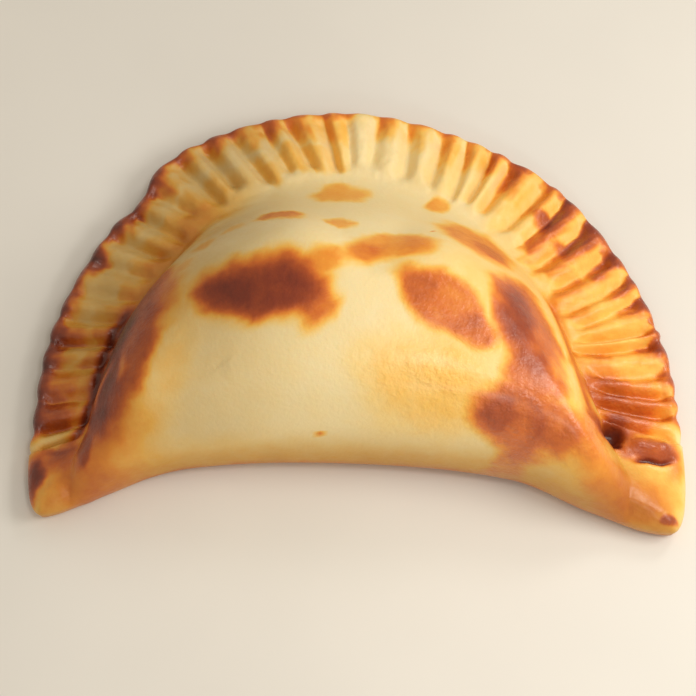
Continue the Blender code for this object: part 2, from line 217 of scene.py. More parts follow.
RIBS = (
    Rib(0.076, 0.071, 0.50, 0.45, 0.30, 0.58), Rib(0.100, 0.089, 0.52, 0.40, 0.12, 0.55),
    Rib(0.116, 0.107, 0.50, 0.35, 0.15, 0.55), Rib(0.136, 0.122, 0.72, 0.35, 0.10, 0.40),
    Rib(0.165, 0.150, 0.50, 0.40, 0.15, 0.15), Rib(0.176, 0.164, 0.76, 0.42, 0.15, 0.18),
    Rib(0.204, 0.182, 0.76, 0.38, 0.12, 0.30), Rib(0.224, 0.200, 0.72, 0.55, 0.15, 0.40),
    Rib(0.250, 0.233, 0.76, 0.72, 0.15, 0.38), Rib(0.283, 0.264, 0.80, 0.78, 0.12, 0.50),
    Rib(0.311, 0.300, 0.50, 0.60, 0.20, 0.12), Rib(0.330, 0.327, 0.62, 0.66, 0.20, 0.20),
    Rib(0.366, 0.362, 0.60, 0.55, 0.10, 0.10), Rib(0.385, 0.379, 0.52, 0.50, 0.22, 0.05),
    Rib(0.407, 0.396, 0.46, 0.60, 0.05, 0.00), Rib(0.428, 0.425, 0.55, 0.42, 0.04, 0.05),
    Rib(0.458, 0.453, 0.62, 0.42, 0.14, 0.05), Rib(0.484, 0.492, 0.52, 0.22, 0.08, 0.00),
    Rib(0.512, 0.513, 0.50, 0.75, 0.26, 0.24), Rib(0.532, 0.528, 0.54, 0.55, 0.20, 0.24),
    Rib(0.563, 0.553, 0.66, 0.45, 0.20, 0.26), Rib(0.583, 0.578, 0.74, 0.35, 0.10, 0.26),
    Rib(0.611, 0.604, 0.72, 0.36, 0.10, 0.16), Rib(0.635, 0.636, 0.66, 0.35, 0.08, 0.24),
    Rib(0.660, 0.661, 0.74, 0.48, 0.10, 0.26), Rib(0.699, 0.690, 0.78, 0.42, 0.28, 0.24),
    Rib(0.722, 0.720, 0.78, 0.32, 0.15, 0.26), Rib(0.749, 0.747, 0.76, 0.28, 0.15, 0.28),
    Rib(0.776, 0.774, 0.85, 0.24, 0.12, 0.30), Rib(0.804, 0.802, 0.85, 0.32, 0.30, 0.28),
    Rib(0.829, 0.827, 0.62, 0.66, 0.22, 0.40), Rib(0.852, 0.850, 0.62, 0.44, 0.15, 0.38),
    Rib(0.876, 0.872, 0.64, 0.75, 0.38, 0.34), Rib(0.902, 0.903, 0.68, 0.75, 0.60, 0.38),
    Rib(0.928, 0.928, 0.44, 0.80, 0.42, 0.42),
)


@dataclass(frozen=True)
class CrimpSizes:
    """Crimps pressed with a fork: round ribs side by side, with a narrow crease between each two."""

    last_crease: Pair = (0.946, 0.948)
    crease_runs: Pair = (0.10, 0.90)
    crest: float = 0.56
    depth: float = 0.0025
    sharpness: float = 1.25
    mean: float = 0.80
    swings: tuple[Pair, ...] = ((0.20, 1.7), (0.14, 0.61))
    reach: Pair = (0.80, 1.04)
    reach_swing: Pair = (0.06, 97.0)
    run_limit: float = 1.1
    edge: Pair = (0.0000, 0.0036)
    scallop: float = 0.0005
    scallop_share: float = 0.20
    bend_stations: Pair = (0.01, 0.09)
    centres: tuple[Pair, ...] = ((0.0105, -0.0140), (0.0015, -0.0265))

    def number(self, station: np.ndarray, run_in: np.ndarray) -> np.ndarray:
        """Counts the creases passed from the right tip, with the share of the rib that is being crossed.

        Args:
            station: rim station of each vertex's column.
            run_in: share of the rim's width at each vertex.

        Returns:
            0 at the first crease and one more at each next, -1 before the first.
        """
        low, high = self.crease_runs
        inner = (np.clip(run_in, 0.0, self.run_limit) - low) / (high - low)
        ends = [(rib.crease, rib.crease_inner) for rib in RIBS] + [self.last_crease]
        lines = [outer + (deep - outer) * inner for outer, deep in ends]
        number = np.where(station < lines[0], -1.0, 0.0)
        for here, after in zip(lines[:-1], lines[1:]):
            number += np.clip((station - here) / (after - here), 0.0, 1.0)
        return number

    def crease(self, number: np.ndarray) -> np.ndarray:
        """How far down each vertex is between the crests of two ribs.

        Args:
            number: creases passed, with the share of the rib that is being crossed.

        Returns:
            0 on the crest of each rib and up to about 1 in the creases beside it.
        """
        phase = number - np.floor(number)
        across = np.where(phase < self.crest, 1 - phase / self.crest, (phase - self.crest) / (1 - self.crest))
        uneven = self.mean + sum(size * np.sin(np.rint(number) * rate) for size, rate in self.swings)
        rounded = (1 - np.cos(math.pi * across ** self.sharpness)) / 2
        return rounded * uneven * ((number >= 0) & (number < len(RIBS)))


@dataclass(frozen=True)
class DomeSizes:
    """The puffed body: its height, its foot along the rim, and how it thins towards the tips."""

    height: float = 0.036
    crown: float = 2.2
    foot: float = 0.0080
    foot_reach: float = 0.014
    foot_blend: Pair = (0.15, 1.0)
    taper_length: float = 0.068
    taper_share: float = 0.50
    overhang: float = 0.0022
    overhang_stations: Row = (0.66, 0.80, 0.90, 0.97)
    overhang_widths: Row = (1.0, 1.35, 1.6, 2.6)
    steady_depths: Pair = (0.012, 0.026)
    steady_reach: float = 0.018
    middle_station: float = 0.5
    lump_size: float = 0.026
    lump_depth: float = 0.0006
    lump_heights: Pair = (0.002, 0.010)


@dataclass(frozen=True)
class FoldSizes:
    """The folded side, a round bolster without a rim."""

    middle_height: float = 0.0090
    tip_height: float = 0.0026
    takes_over: Pair = (0.2, 0.8)
    height_fall: float = 0.8
    rise: float = 0.0280
    tip_rise: float = 0.0170
    crown: float = 2.2
    round: float = 0.55
    trim: float = 0.05
    run_on: float = 0.060
    run_on_samples: int = 160
    calm: int = 110
    tangent: int = 4


@dataclass(frozen=True)
class PlanOval:
    """An oval place on the dough, in plan."""

    x: float
    y: float
    half_x: float
    half_y: float
    degrees: float

    def steps(self, plan: np.ndarray) -> tuple[np.ndarray, np.ndarray]:
        """Steps from its middle to each plan point.

        Args:
            plan: plan points.

        Returns:
            The steps along its own two axes, as shares of its half lengths.
        """
        turn = math.radians(self.degrees)
        dx, dy = plan[:, 0] - self.x, plan[:, 1] - self.y
        across = (dx * math.cos(turn) + dy * math.sin(turn)) / self.half_x
        along = (dy * math.cos(turn) - dx * math.sin(turn)) / self.half_y
        return across, along


@dataclass(frozen=True)
class Swelling(PlanOval):
    """A place where the filling pushes the dough up."""

    height: float
    fall: float = 1.2

    def rise(self, plan: np.ndarray) -> np.ndarray:
        """Height that it adds at each plan point."""
        across, along = self.steps(plan)
        return self.height * np.exp(-(across ** 2 + along ** 2) * self.fall)


@dataclass(frozen=True)
class Burst:
    """The small split where steam burst out beside the last crimps."""

    x: float = 0.0498
    y: float = -0.0246
    radius: float = 0.0024
    depth: float = 0.0036
    steepness: int = 4

    def away(self, plan: np.ndarray) -> np.ndarray:
        """Distance from its middle, in radii."""
        return np.hypot(plan[:, 0] - self.x, plan[:, 1] - self.y) / self.radius


SWELLINGS = (
    Swelling(-0.018, 0.000, 0.018, 0.010, -4, 0.0009),
    Swelling(0.019, -0.004, 0.012, 0.011, -35, 0.0009),
    Swelling(0.034, -0.008, 0.008, 0.014, 14, 0.0012),
    Swelling(0.030, -0.026, 0.011, 0.007, -12, 0.0009),
    Swelling(-0.044, -0.014, 0.006, 0.016, 8, 0.0010),
    Swelling(0.003, 0.014, 0.016, 0.006, 6, 0.0006),
    Swelling(0.054, -0.036, 0.011, 0.006, -35, 0.0028),
    Swelling(-0.057, -0.037, 0.008, 0.006, 40, 0.0024),
    Swelling(0.0580, -0.0264, 0.0054, 0.0021, -2, 0.0024),
)
SWELLING_START = (0.0, 0.004)        # how far in from the outline the swellings set in
BURST_LUMPS = (                      # a crumb on the margin of the burst, and the blister beside it
    Swelling(0.0461, -0.0285, 0.0016, 0.0013, 20, 0.0011),
    Swelling(0.0562, -0.0279, 0.0015, 0.0013, 10, 0.0006),
    Swelling(0.0592, -0.0291, 0.0018, 0.0011, -20, 0.0005),
    Swelling(0.0619, -0.0277, 0.0014, 0.0012, 15, 0.0006),
)


@dataclass(frozen=True)
class CrustMesh:
    """How finely the crust is meshed: columns round the outline, rings from the core out and under."""

    rim_columns: int = 840
    fold_columns: int = 110
    fold_margin: float = 0.12
    bend: float = 0.25
    edge_share: float = 0.08
    rim_share: float = 0.46
    base_share: float = 0.38
    base_spread: float = 1.6
    edge_rings: int = 10
    rim_rings: int = 48
    dome_rings: int = 34
    base_rings: int = 8
    base_cut: float = 0.0003

    def ring_shares(self) -> tuple[np.ndarray, np.ndarray]:
        """Spaces the rings, as shares of the way from the edge (0) to the core (1).

        Returns:
            The rings of the top, from the core outwards, and those under the edge, going inwards.
        """
        edge = self.edge_share * (1 - np.cos(np.linspace(0, math.pi / 2, self.edge_rings, endpoint=False)))
        rim = np.linspace(self.edge_share, self.rim_share, self.rim_rings, endpoint=False)
        dome = np.linspace(self.rim_share, 1.0, self.dome_rings, endpoint=False)
        base = self.base_share * (np.arange(1, self.base_rings + 1) / self.base_rings) ** self.base_spread
        return np.concatenate([edge, rim, dome])[::-1], base


class PlanOutline:
    """The closed plan outline, as a spline through its points that is read by length."""

    def __init__(self, plan: PlanPoints, fold: FoldSizes) -> None:
        """Runs the spline through the points.

        Args:
            plan: the outline's points.
            fold: how the two sides are told apart near the tips.
        """
        self.fold = fold
        points = np.array(plan.rim + plan.fold)
        count = len(points)
        steps = np.linalg.norm(np.roll(points, -1, 0) - points, axis=1)
        slopes = (np.roll(points, -1, 0) - np.roll(points, 1, 0)) / (steps + np.roll(steps, 1))[:, None]
        share = np.linspace(0.0, 1.0, plan.span_samples, endpoint=False)[:, None]
        spans = []
        for i in range(count):
            j = (i + 1) % count
            spans.append(
                (1 + 2 * share) * (1 - share) ** 2 * points[i]
                + share * (1 - share) ** 2 * steps[i] * slopes[i]
                + share ** 2 * (3 - 2 * share) * points[j]
                + share ** 2 * (share - 1) * steps[i] * slopes[j]
            )
        fine = np.concatenate(spans + [points[:1]])
        lengths = np.concatenate([[0.0], np.cumsum(np.linalg.norm(np.diff(fine, axis=0), axis=1))])
        self.length = lengths[-1]
        self.rim_length = lengths[plan.span_samples * len(plan.rim)]
        self.places = np.linspace(0.0, self.length, plan.samples, endpoint=False)
        self.points = np.stack([np.interp(self.places, lengths, fine[:, k]) for k in (0, 1)], axis=1)
        along = np.roll(self.points, -1, 0) - np.roll(self.points, 1, 0)
        along /= np.linalg.norm(along, axis=1)[:, None]
        self.inward = np.stack([-along[:, 1], along[:, 0]], axis=1)

    def read(self, values: np.ndarray, place: np.ndarray) -> np.ndarray:
        """One of the outline's sampled arrays, at lengths along it.

        Args:
            values: the array, with a row for each sample.
            place: lengths along the outline.

        Returns:
            A row for each length.
        """
        around = np.append(self.places, self.length)
        closed = np.concatenate([values, values[:1]])
        return np.stack([np.interp(place % self.length, around, closed[:, k]) for k in (0, 1)], axis=-1)

    def side_line(self, first: float, last: float,
                  whole: Pair) -> tuple[np.ndarray, np.ndarray]:
        """Part of the outline as a line that runs straight on past both its ends.

        Args:
            first: length at which it starts.
            last: length at which it ends.
            whole: lengths at which its share is 0 and 1.

        Returns:
            The line's points, and the share at each.
        """
        near = (self.places >= first) & (self.places <= last)
        points = self.points[near]
        shares = (self.places[near] - whole[0]) / (whole[1] - whole[0])
        back_out = points[0] - points[self.fold.tangent]
        on_out = points[-1] - points[-1 - self.fold.tangent]
        steps = np.linspace(0.0, self.fold.run_on, self.fold.run_on_samples)[1:, None]
        before = points[0] + back_out / np.linalg.norm(back_out) * steps[::-1]
        after = points[-1] + on_out / np.linalg.norm(on_out) * steps
        line = np.concatenate([before, points, after])
        flat = np.ones(len(steps))
        return line, np.concatenate([shares[0] * flat, shares, shares[-1] * flat])

    def calmed(self, line: np.ndarray) -> np.ndarray:
        """Takes the tighter bends out of a line, so that the body that rises along it has no ridges.

        Args:
            line: the line's points.

        Returns:
            As many points, on the calmed line.
        """
        calm = self.fold.calm
        kernel = np.hanning(2 * calm + 1)
        padded = np.pad(line, ((calm, calm), (0, 0)), mode="reflect", reflect_type="odd")
        eased = [np.convolve(padded[:, k], kernel / kernel.sum(), mode="valid") for k in (0, 1)]
        return np.stack(eased, axis=1)

    def sides(self, plan: np.ndarray) -> list[tuple[np.ndarray, np.ndarray]]:
        """Measures where plan points lie beside the rim, the fold and the calmed rim.

        Args:
            plan: plan points.

        Returns:
            For each of the three, the distance of each point and its share along.
        """
        rim, whole, trim = self.rim_length, self.length, self.fold.trim
        fold = whole - rim
        rim_side = self.side_line(trim * rim, (1 - trim) * rim, (0.0, rim))
        fold_side = self.side_line(rim + trim * fold, whole - trim * fold, (rim, whole))
        calm_side = (self.calmed(rim_side[0]), rim_side[1])
        return [nearest_on_line(plan, line, shares) for line, shares in (rim_side, fold_side, calm_side)]

    def steady_station(self, core: np.ndarray, plan: np.ndarray, station: np.ndarray,
                       blend: np.ndarray) -> np.ndarray:
        """Rim station for the dome: the nearest one by the rim, and the one at the same bearing deeper in.

        Args:
            core: plan position of the dome's top.
            plan: plan points.
            station: nearest station of each.
            blend: 0 by the rim and 1 deeper in.

        Returns:
            The station of each point.
        """
        rim = self.places <= self.rim_length
        stations = self.places[rim] / self.rim_length
        turned = np.interp(bearing(plan - core), bearing(self.points[rim] - core), stations)
        return station + (turned - station) * blend

    def from_edge(self, plan: np.ndarray) -> np.ndarray:
        """Each plan point's distance from the outline itself."""
        closed = np.concatenate([self.points, self.points[:1]])
        return nearest_on_line(plan, closed, np.zeros(len(closed)))[0]


@dataclass
class DoughReading:
    """What is known of each vertex of the dough: its place, and where that lies on the rim and the fold."""

    form: np.ndarray
    plan: np.ndarray
    column: np.ndarray
    number: np.ndarray
    station: np.ndarray
    run_in: np.ndarray
    from_rim: np.ndarray
    from_edge: np.ndarray
    on_fold: np.ndarray
    under: np.ndarray


@dataclass
class DoughForm:
    """The shape of the dough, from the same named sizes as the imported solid."""

    plan: PlanPoints = field(default_factory=PlanPoints)
    rim: RimSizes = field(default_factory=RimSizes)
    crimps: CrimpSizes = field(default_factory=CrimpSizes)
    dome: DomeSizes = field(default_factory=DomeSizes)
    fold: FoldSizes = field(default_factory=FoldSizes)
    burst: Burst = field(default_factory=Burst)
    mesh: CrustMesh = field(default_factory=CrustMesh)

    def __post_init__(self) -> None:
        """Draws the outline once."""
        self.outline = PlanOutline(self.plan, self.fold)

    def column_places(self) -> np.ndarray:
        """Spaces the mesh's columns round the outline, dense on the crimps.

        Returns:
            Their lengths along the outline.
        """
        rim, whole = self.outline.rim_length, self.outline.length
        turn = np.linspace(self.mesh.fold_margin, math.pi - self.mesh.fold_margin, self.mesh.fold_columns)
        return np.concatenate([
            np.linspace(0.0, rim, self.mesh.rim_columns),
            rim + (whole - rim) * (1 - np.cos(turn)) / 2,
        ])

    def columns(self, place: np.ndarray, share: np.ndarray, column: np.ndarray,
                rim_column: np.ndarray) -> np.ndarray:
        """Plan points of the columns, which leave the edge along the ribs and bend to the core.

        Args:
            place: lengths along the outline.
            share: shares of the way inwards.
            column: rim station of each column.
            rim_column: 1 for the columns of the rim, 0 for the fold's.

        Returns:
            The plan points.
        """
        core = np.array(self.plan.core)
        start = self.outline.read(self.outline.points, place)
        reach = np.linalg.norm(core - start, axis=1)
        right, left = np.array(self.crimps.centres)
        low, high = self.crimps.bend_stations
        bend = (smooth(low, high, column) * smooth(low, high, 1 - column) * rim_column)[:, None]
        aim = bend * (right + (left - right) * column[:, None]) + (1 - bend) * core
        heading = (aim - start) / np.linalg.norm(aim - start, axis=1)[:, None]
        middle = start + heading * (self.mesh.bend * reach)[:, None]
        a, b, c = ((1 - share) ** 2)[:, None], (2 * share * (1 - share))[:, None], (share ** 2)[:, None]
        return a * start + b * middle + c * core

    def body(self, plan: np.ndarray, station: np.ndarray, from_rim: np.ndarray,
             from_fold: np.ndarray) -> np.ndarray:
        """Rise of the puffed body above its foot.

        Args:
            plan: plan points.
            station: rim station of each, along the calmed rim.
            from_rim: distance of each from the calmed rim.
            from_fold: distance of each from the folded side.

        Returns:
            The rise at each point.
        """
        dome, fold, rim = self.dome, self.fold, self.rim
        core = np.array(self.plan.core)
        steady = self.outline.steady_station(core, plan, station, smooth(*dome.steady_depths, from_rim))
        near = smooth(0.0, dome.steady_reach, np.linalg.norm(plan - core, axis=1))
        width, gap, rise, fillet = (
            rim.read(values, dome.middle_station) * (1 - near) + rim.read(values, steady) * near
            for values in (rim.widths, rim.gaps, rim.rises, rim.fillets)
        )
        towards_tip = (1 - np.cos(math.pi * np.clip(plan[:, 0] / dome.taper_length, -1, 1))) / 2
        taper = 1 - (1 - dome.taper_share) * towards_tip
        fold_rise = fold.rise + (fold.tip_rise - fold.rise) * towards_tip
        back = swell((from_rim - width - gap) / rise, dome.crown, fillet)
        front = swell(from_fold / fold_rise, fold.crown, fold.round)
        return (dome.height - dome.foot) * taper * back * front

    def shape(self, place: np.ndarray, share: np.ndarray, under: np.ndarray) -> DoughReading:
        """Forms the dough at outline lengths and inward shares.

        Args:
            place: lengths along the outline.
            share: shares of the way inwards.
            under: whether each vertex is under the edge.

        Returns:
            The dough's places with what was read of them.
        """
        rim, dome, fold, crimps = self.rim, self.dome, self.fold, self.crimps
        column = np.clip(place / self.outline.rim_length, 0.0, 1.0)
        rim_column = (place <= self.outline.rim_length) * 1.0
        plan = self.columns(place, share, column, rim_column)

        (from_rim, station), (from_fold, fold_share), (from_calm, calm_station) = self.outline.sides(plan)
        from_edge = self.outline.from_edge(plan)
        on_fold = smooth(*fold.takes_over, from_rim / (from_rim + from_fold + TINY))
        from_both = from_rim * from_fold / (from_rim + from_fold + TINY)
        lift = rim.read(rim.lifts, station)
        width = rim.read(rim.widths, station)
        fold_swell = np.sin(math.pi * fold_share) ** fold.height_fall
        fold_height = fold.tip_height + (fold.middle_height - fold.tip_height) * fold_swell
        edge_height = (1 - on_fold) * (lift + rim.edge / 2) + on_fold * fold_height

        slab = rim.edge / 2 * quarter_round(from_edge / rim.edge_round)
        slab = slab + rim.slope * np.minimum(from_both, width)
        inside = smooth(*dome.foot_blend, from_both / dome.foot_reach)
        upper = (edge_height + slab) * (1 - inside) + dome.foot * inside
        upper += self.body(plan, calm_station, from_calm, from_fold)
        upper += sum(swelling.rise(plan) for swelling in SWELLINGS) * smooth(*SWELLING_START, from_edge)
        reach_swing, reach_rate = crimps.reach_swing
        run_in = from_rim / width / (1 + reach_swing * np.sin(column * reach_rate))
        number = crimps.number(column, run_in)
        crease = crimps.crease(number) * rim_column
        fade = smooth(*crimps.edge, from_edge) * (1 - smooth(*crimps.reach, run_in))
        upper -= crimps.depth * crease * fade

        edge_round = (1 - on_fold) * rim.edge_round + on_fold * edge_height
        raised = lift * (1 - smooth(0.0, rim.lift_reach, from_edge)) * (1 - on_fold)
        lower = raised + (edge_height - raised) * (1 - quarter_round(from_edge / edge_round))
        lower = lower - self.mesh.base_cut

        lean = dome.overhang * smooth(*dome.overhang_stations[:2], station)
        lean *= 1 - smooth(*dome.overhang_stations[2:], station)
        widths_in = from_rim / width
        flank = smooth(*dome.overhang_widths[:2], widths_in)
        flank *= 1 - smooth(*dome.overhang_widths[2:], widths_in)
        dent = rim.dent_depth * np.exp(-((column - rim.dent_station) / rim.dent_spread) ** 2)
        notch = (crimps.scallop * crease + dent) * (1 - smooth(0.0, crimps.scallop_share, share))
        inward = self.outline.read(self.outline.inward, place)
        moved = plan - inward * (lean * flank - notch)[:, None]
        form = np.column_stack([moved, np.where(under, lower, upper)])
        uneven = dome.lump_depth * unevenness(form, dome.lump_size) * smooth(*dome.lump_heights, form[:, 2])
        form[:, 2] += np.where(under, 0.0, uneven)
        hole = self.burst.depth * np.exp(-self.burst.away(form) ** self.burst.steepness)
        form[:, 2] -= np.where(under, 0.0, hole)
        number = np.where(rim_column > 0, number, -1.0)
        return DoughReading(form, plan, column, number, station, run_in, from_rim, from_edge, on_fold, under)


@dataclass(frozen=True)
class BakedPatch(PlanOval):
    """A browned patch on the dough, in plan, with a soft margin that lies mostly inside its oval."""

    level: float
    margin: float
    gloss: float
    share_outside: float = 0.5

    def cover(self, plan: np.ndarray) -> np.ndarray:
        """How far each plan point is inside, from 0 outside to 1 in the middle."""
        away = np.hypot(*self.steps(plan))
        return 1.0 - smooth(1.0 - self.margin, 1.0 + self.margin * self.share_outside, away)


def patch(x: float, y: float, half_x: float, half_y: float, degrees: float, level: float,
          margin: float, gloss: float = 0.0) -> BakedPatch:
    """A baked patch from millimetres."""
    return BakedPatch(x * MM, y * MM, half_x * MM, half_y * MM, degrees, level, margin, gloss)


PATCHES = (
    patch(-19.8, -8.8, 13.2, 7.6, 3, 0.67, 0.50),
    patch(-14.0, -8.0, 9.0, 8.2, 0, 0.60, 0.55),
    patch(-9.4, -12.4, 5.0, 6.0, -15, 0.48, 0.55),
    patch(-26.0, -10.2, 6.8, 6.0, 8, 0.58, 0.60),
    patch(-8.0, -2.8, 4.4, 3.8, 0, 0.38, 0.60),
    patch(4.2, 0.9, 11.2, 5.0, 13, 0.375, 0.40),
    patch(0.5, -0.6, 7.0, 3.4, 10, 0.37, 0.60),
    patch(-5.5, 22.9, 7.4, 4.2, 4, 0.31, 0.40),
    patch(-17.2, 11.0, 5.9, 3.0, -4, 0.44, 0.40),
    patch(-5.6, 9.3, 3.2, 2.3, 0, 0.33, 0.50),
    patch(-30.7, 4.7, 3.2, 2.0, 35, 0.28, 0.60),
    patch(-26.0, 8.4, 3.0, 1.6, 20, 0.22, 0.60),
    patch(-34.5, -1.0, 4.0, 1.6, 35, 0.26, 0.70),
    patch(22.4, 9.8, 9.8, 7.4, -50, 0.45, 0.45),
    patch(25.6, 6.8, 4.8, 3.4, -50, 0.46, 0.60),
    patch(14.5, 22.9, 4.4, 2.5, 6, 0.34, 0.45),
    patch(13.6, 9.2, 0.5, 0.5, 0, 0.50, 0.50),
    patch(-6.6, -33.1, 0.6, 0.5, 0, 0.45, 0.50),
    patch(15.6, -10.6, 11.2, 6.8, -33, 0.49, 0.35, 0.60),
    patch(10.6, -8.2, 4.8, 4.6, 0, 0.47, 0.60, 0.30),
    patch(22.4, -15.8, 5.6, 4.6, -30, 0.52, 0.60, 0.80),
    patch(32.2, -12.2, 7.0, 14.6, 15, 0.55, 0.36, 0.35),
    patch(30.4, -11.6, 4.4, 9.6, 12, 0.66, 0.60, 0.40),
    patch(34.0, -23.0, 7.4, 7.6, 10, 0.53, 0.60, 0.70),
    patch(30.0, -30.6, 10.6, 5.8, -10, 0.53, 0.42, 0.90),
    patch(27.0, -30.2, 6.0, 3.6, -8, 0.55, 0.60, 0.90),
    patch(38.0, -31.0, 7.6, 5.4, -15, 0.49, 0.60, 0.70),
    patch(15.4, -24.0, 9.5, 4.6, -8, 0.17, 0.60, 0.85),
    patch(-44.6, -18.5, 6.8, 20.0, -12, 0.59, 0.40),
    patch(-47.0, -13.5, 4.9, 13.0, -12, 0.82, 0.55),
    patch(-48.6, -27.0, 5.2, 9.6, -12, 0.76, 0.60),
    patch(-40.6, -3.2, 4.2, 5.6, -35, 0.50, 0.60),
    # painted shade: these two patches darken the left flank, away from the key light
    patch(-36.0, -24.0, 4.6, 10.0, -14, 0.19, 0.95),
    patch(-38.0, -8.6, 5.4, 9.4, -14, 0.44, 0.90),
    patch(-54.5, -40.6, 12.5, 7.2, 30, 0.41, 0.70, 0.25),
    patch(-59.6, -36.6, 6.4, 4.4, 30, 0.60, 0.90, 0.30),
    patch(-60.5, -35.0, 6.5, 1.9, 8, 0.56, 0.90),
    patch(-64.4, -40.0, 2.4, 5.8, 0, 0.84, 0.85, 0.30),
    patch(-53.0, -35.6, 5.0, 2.6, 60, 0.66, 0.60, 0.20),
    patch(-47.0, -41.6, 11.0, 2.0, 20, 0.42, 0.80),
    patch(52.4, -39.0, 16.0, 6.6, -24, 0.39, 0.70, 0.30),
    patch(61.0, -38.5, 7.0, 7.0, 0, 0.33, 0.85),
    patch(45.0, -31.5, 6.5, 7.0, 30, 0.42, 0.60, 0.60),
    patch(62.6, -43.0, 2.4, 1.8, 0, 0.62, 0.60, 0.20),
    patch(59.2, -28.8, 7.4, 3.0, 2, 0.62, 0.55, 0.70),
    patch(50.6, -26.6, 6.4, 3.8, 10, 0.68, 0.60, 0.20),
    patch(50.6, -26.3, 2.3, 2.1, 0, 0.74, 0.60),
    patch(50.0, -17.0, 7.5, 6.5, -10, 0.53, 0.80, 0.60),
    patch(57.0, -19.0, 8.0, 5.5, 5, 0.50, 0.70, 0.80),
    patch(56.0, -23.0, 9.4, 4.6, 5, 0.52, 0.80, 0.50),
    patch(63.0, -30.0, 3.6, 9.0, 0, 0.42, 0.85, 0.20),
    patch(51.5, -23.0, 4.4, 3.0, 20, 0.62, 0.80, 0.40),
    patch(37.4, 21.5, 4.0, 2.6, -50, 0.64, 0.70, 0.50),
    patch(41.2, 15.6, 3.8, 2.2, -42, 0.54, 0.70, 0.40),
    patch(61.4, -4.6, 2.4, 4.4, 0, 0.62, 0.70, 0.50),
)
WARM_DOUGH = (
    patch(34.0, -4.0, 26.0, 30.0, 0, 0.17, 0.70),
    patch(13.0, -25.0, 17.0, 10.0, -8, 0.23, 0.70, 0.50),
    patch(50.0, -34.0, 20.0, 14.0, -20, 0.27, 0.60, 0.30),
    patch(-52.0, -38.0, 18.0, 12.0, 30, 0.30, 0.60),
    # this patch darkens the left flank a little, partly bake and partly painted shade
    patch(-36.0, -14.0, 9.0, 26.0, -12, 0.13, 0.90),
)


@dataclass(frozen=True)
class DoughLine:
    """A dough crease, crack or wrinkle: a groove with a raised lip on its left, its bake and painted shade.
    """

    points: tuple[Pair, ...]
    half_width: float
    depth: float
    lip: float = 0.0
    bake: float = 0.0
    pale: float = 0.0
    ends: float = 0.18
    lip_away: float = 1.7
    groove_spread: float = 1.2
    lip_spread: float = 0.8

    def read(self, plan: np.ndarray) -> tuple[np.ndarray, np.ndarray]:
        """Where each plan point lies beside the line.

        Args:
            plan: plan points.

        Returns:
            The distance to the left of the line, and 1 along it fading to 0 towards its ends.
        """
        line = np.array(self.points) * MM
        lengths = np.concatenate([[0.0], np.cumsum(np.linalg.norm(np.diff(line, axis=0), axis=1))])
        away = np.full(len(plan), np.inf)
        along = np.zeros(len(plan))
        for first in range(len(line) - 1):
            span = line[first + 1] - line[first]
            from_first = plan - line[first]
            share = np.clip(from_first @ span / (span @ span), 0.0, 1.0)
            gap = from_first - share[:, None] * span
            side = np.where(span[0] * gap[:, 1] - span[1] * gap[:, 0] > 0, 1.0, -1.0)
            distance = np.linalg.norm(gap, axis=1)
            closer = distance < np.abs(away)
            away = np.where(closer, side * distance, away)
            place = lengths[first] + share * (lengths[first + 1] - lengths[first])
            along = np.where(closer, place, along)
        along = along / lengths[-1]
        return away, smooth(0.0, self.ends, along) * (1 - smooth(1 - self.ends, 1.0, along))

    def relief(self, plan: np.ndarray) -> np.ndarray:
        """Shapes the dough along the line.

        Args:
            plan: plan points.

        Returns:
            The height that the line adds at each.
        """
        away, present = self.read(plan)
        width = self.half_width * MM
        groove = self.depth * np.exp(-(away / width) ** 2)
        lip = self.lip * np.exp(-((away - self.lip_away * width) / width) ** 2)
        return (lip - groove) * present * MM

    def cover(self, plan: np.ndarray) -> tuple[np.ndarray, np.ndarray]:
        """Finds the groove and the lip for the bake.

        Args:
            plan: plan points.

        Returns:
            How far each point is in the groove, and how far it is on the lip, from 0 to 1.
        """
        away, present = self.read(plan)
        width = self.half_width * MM
        groove = np.exp(-(away / width / self.groove_spread) ** 2) * present
        lip = np.exp(-((away - self.lip_away * width) / width / self.lip_spread) ** 2) * present
        return groove, lip


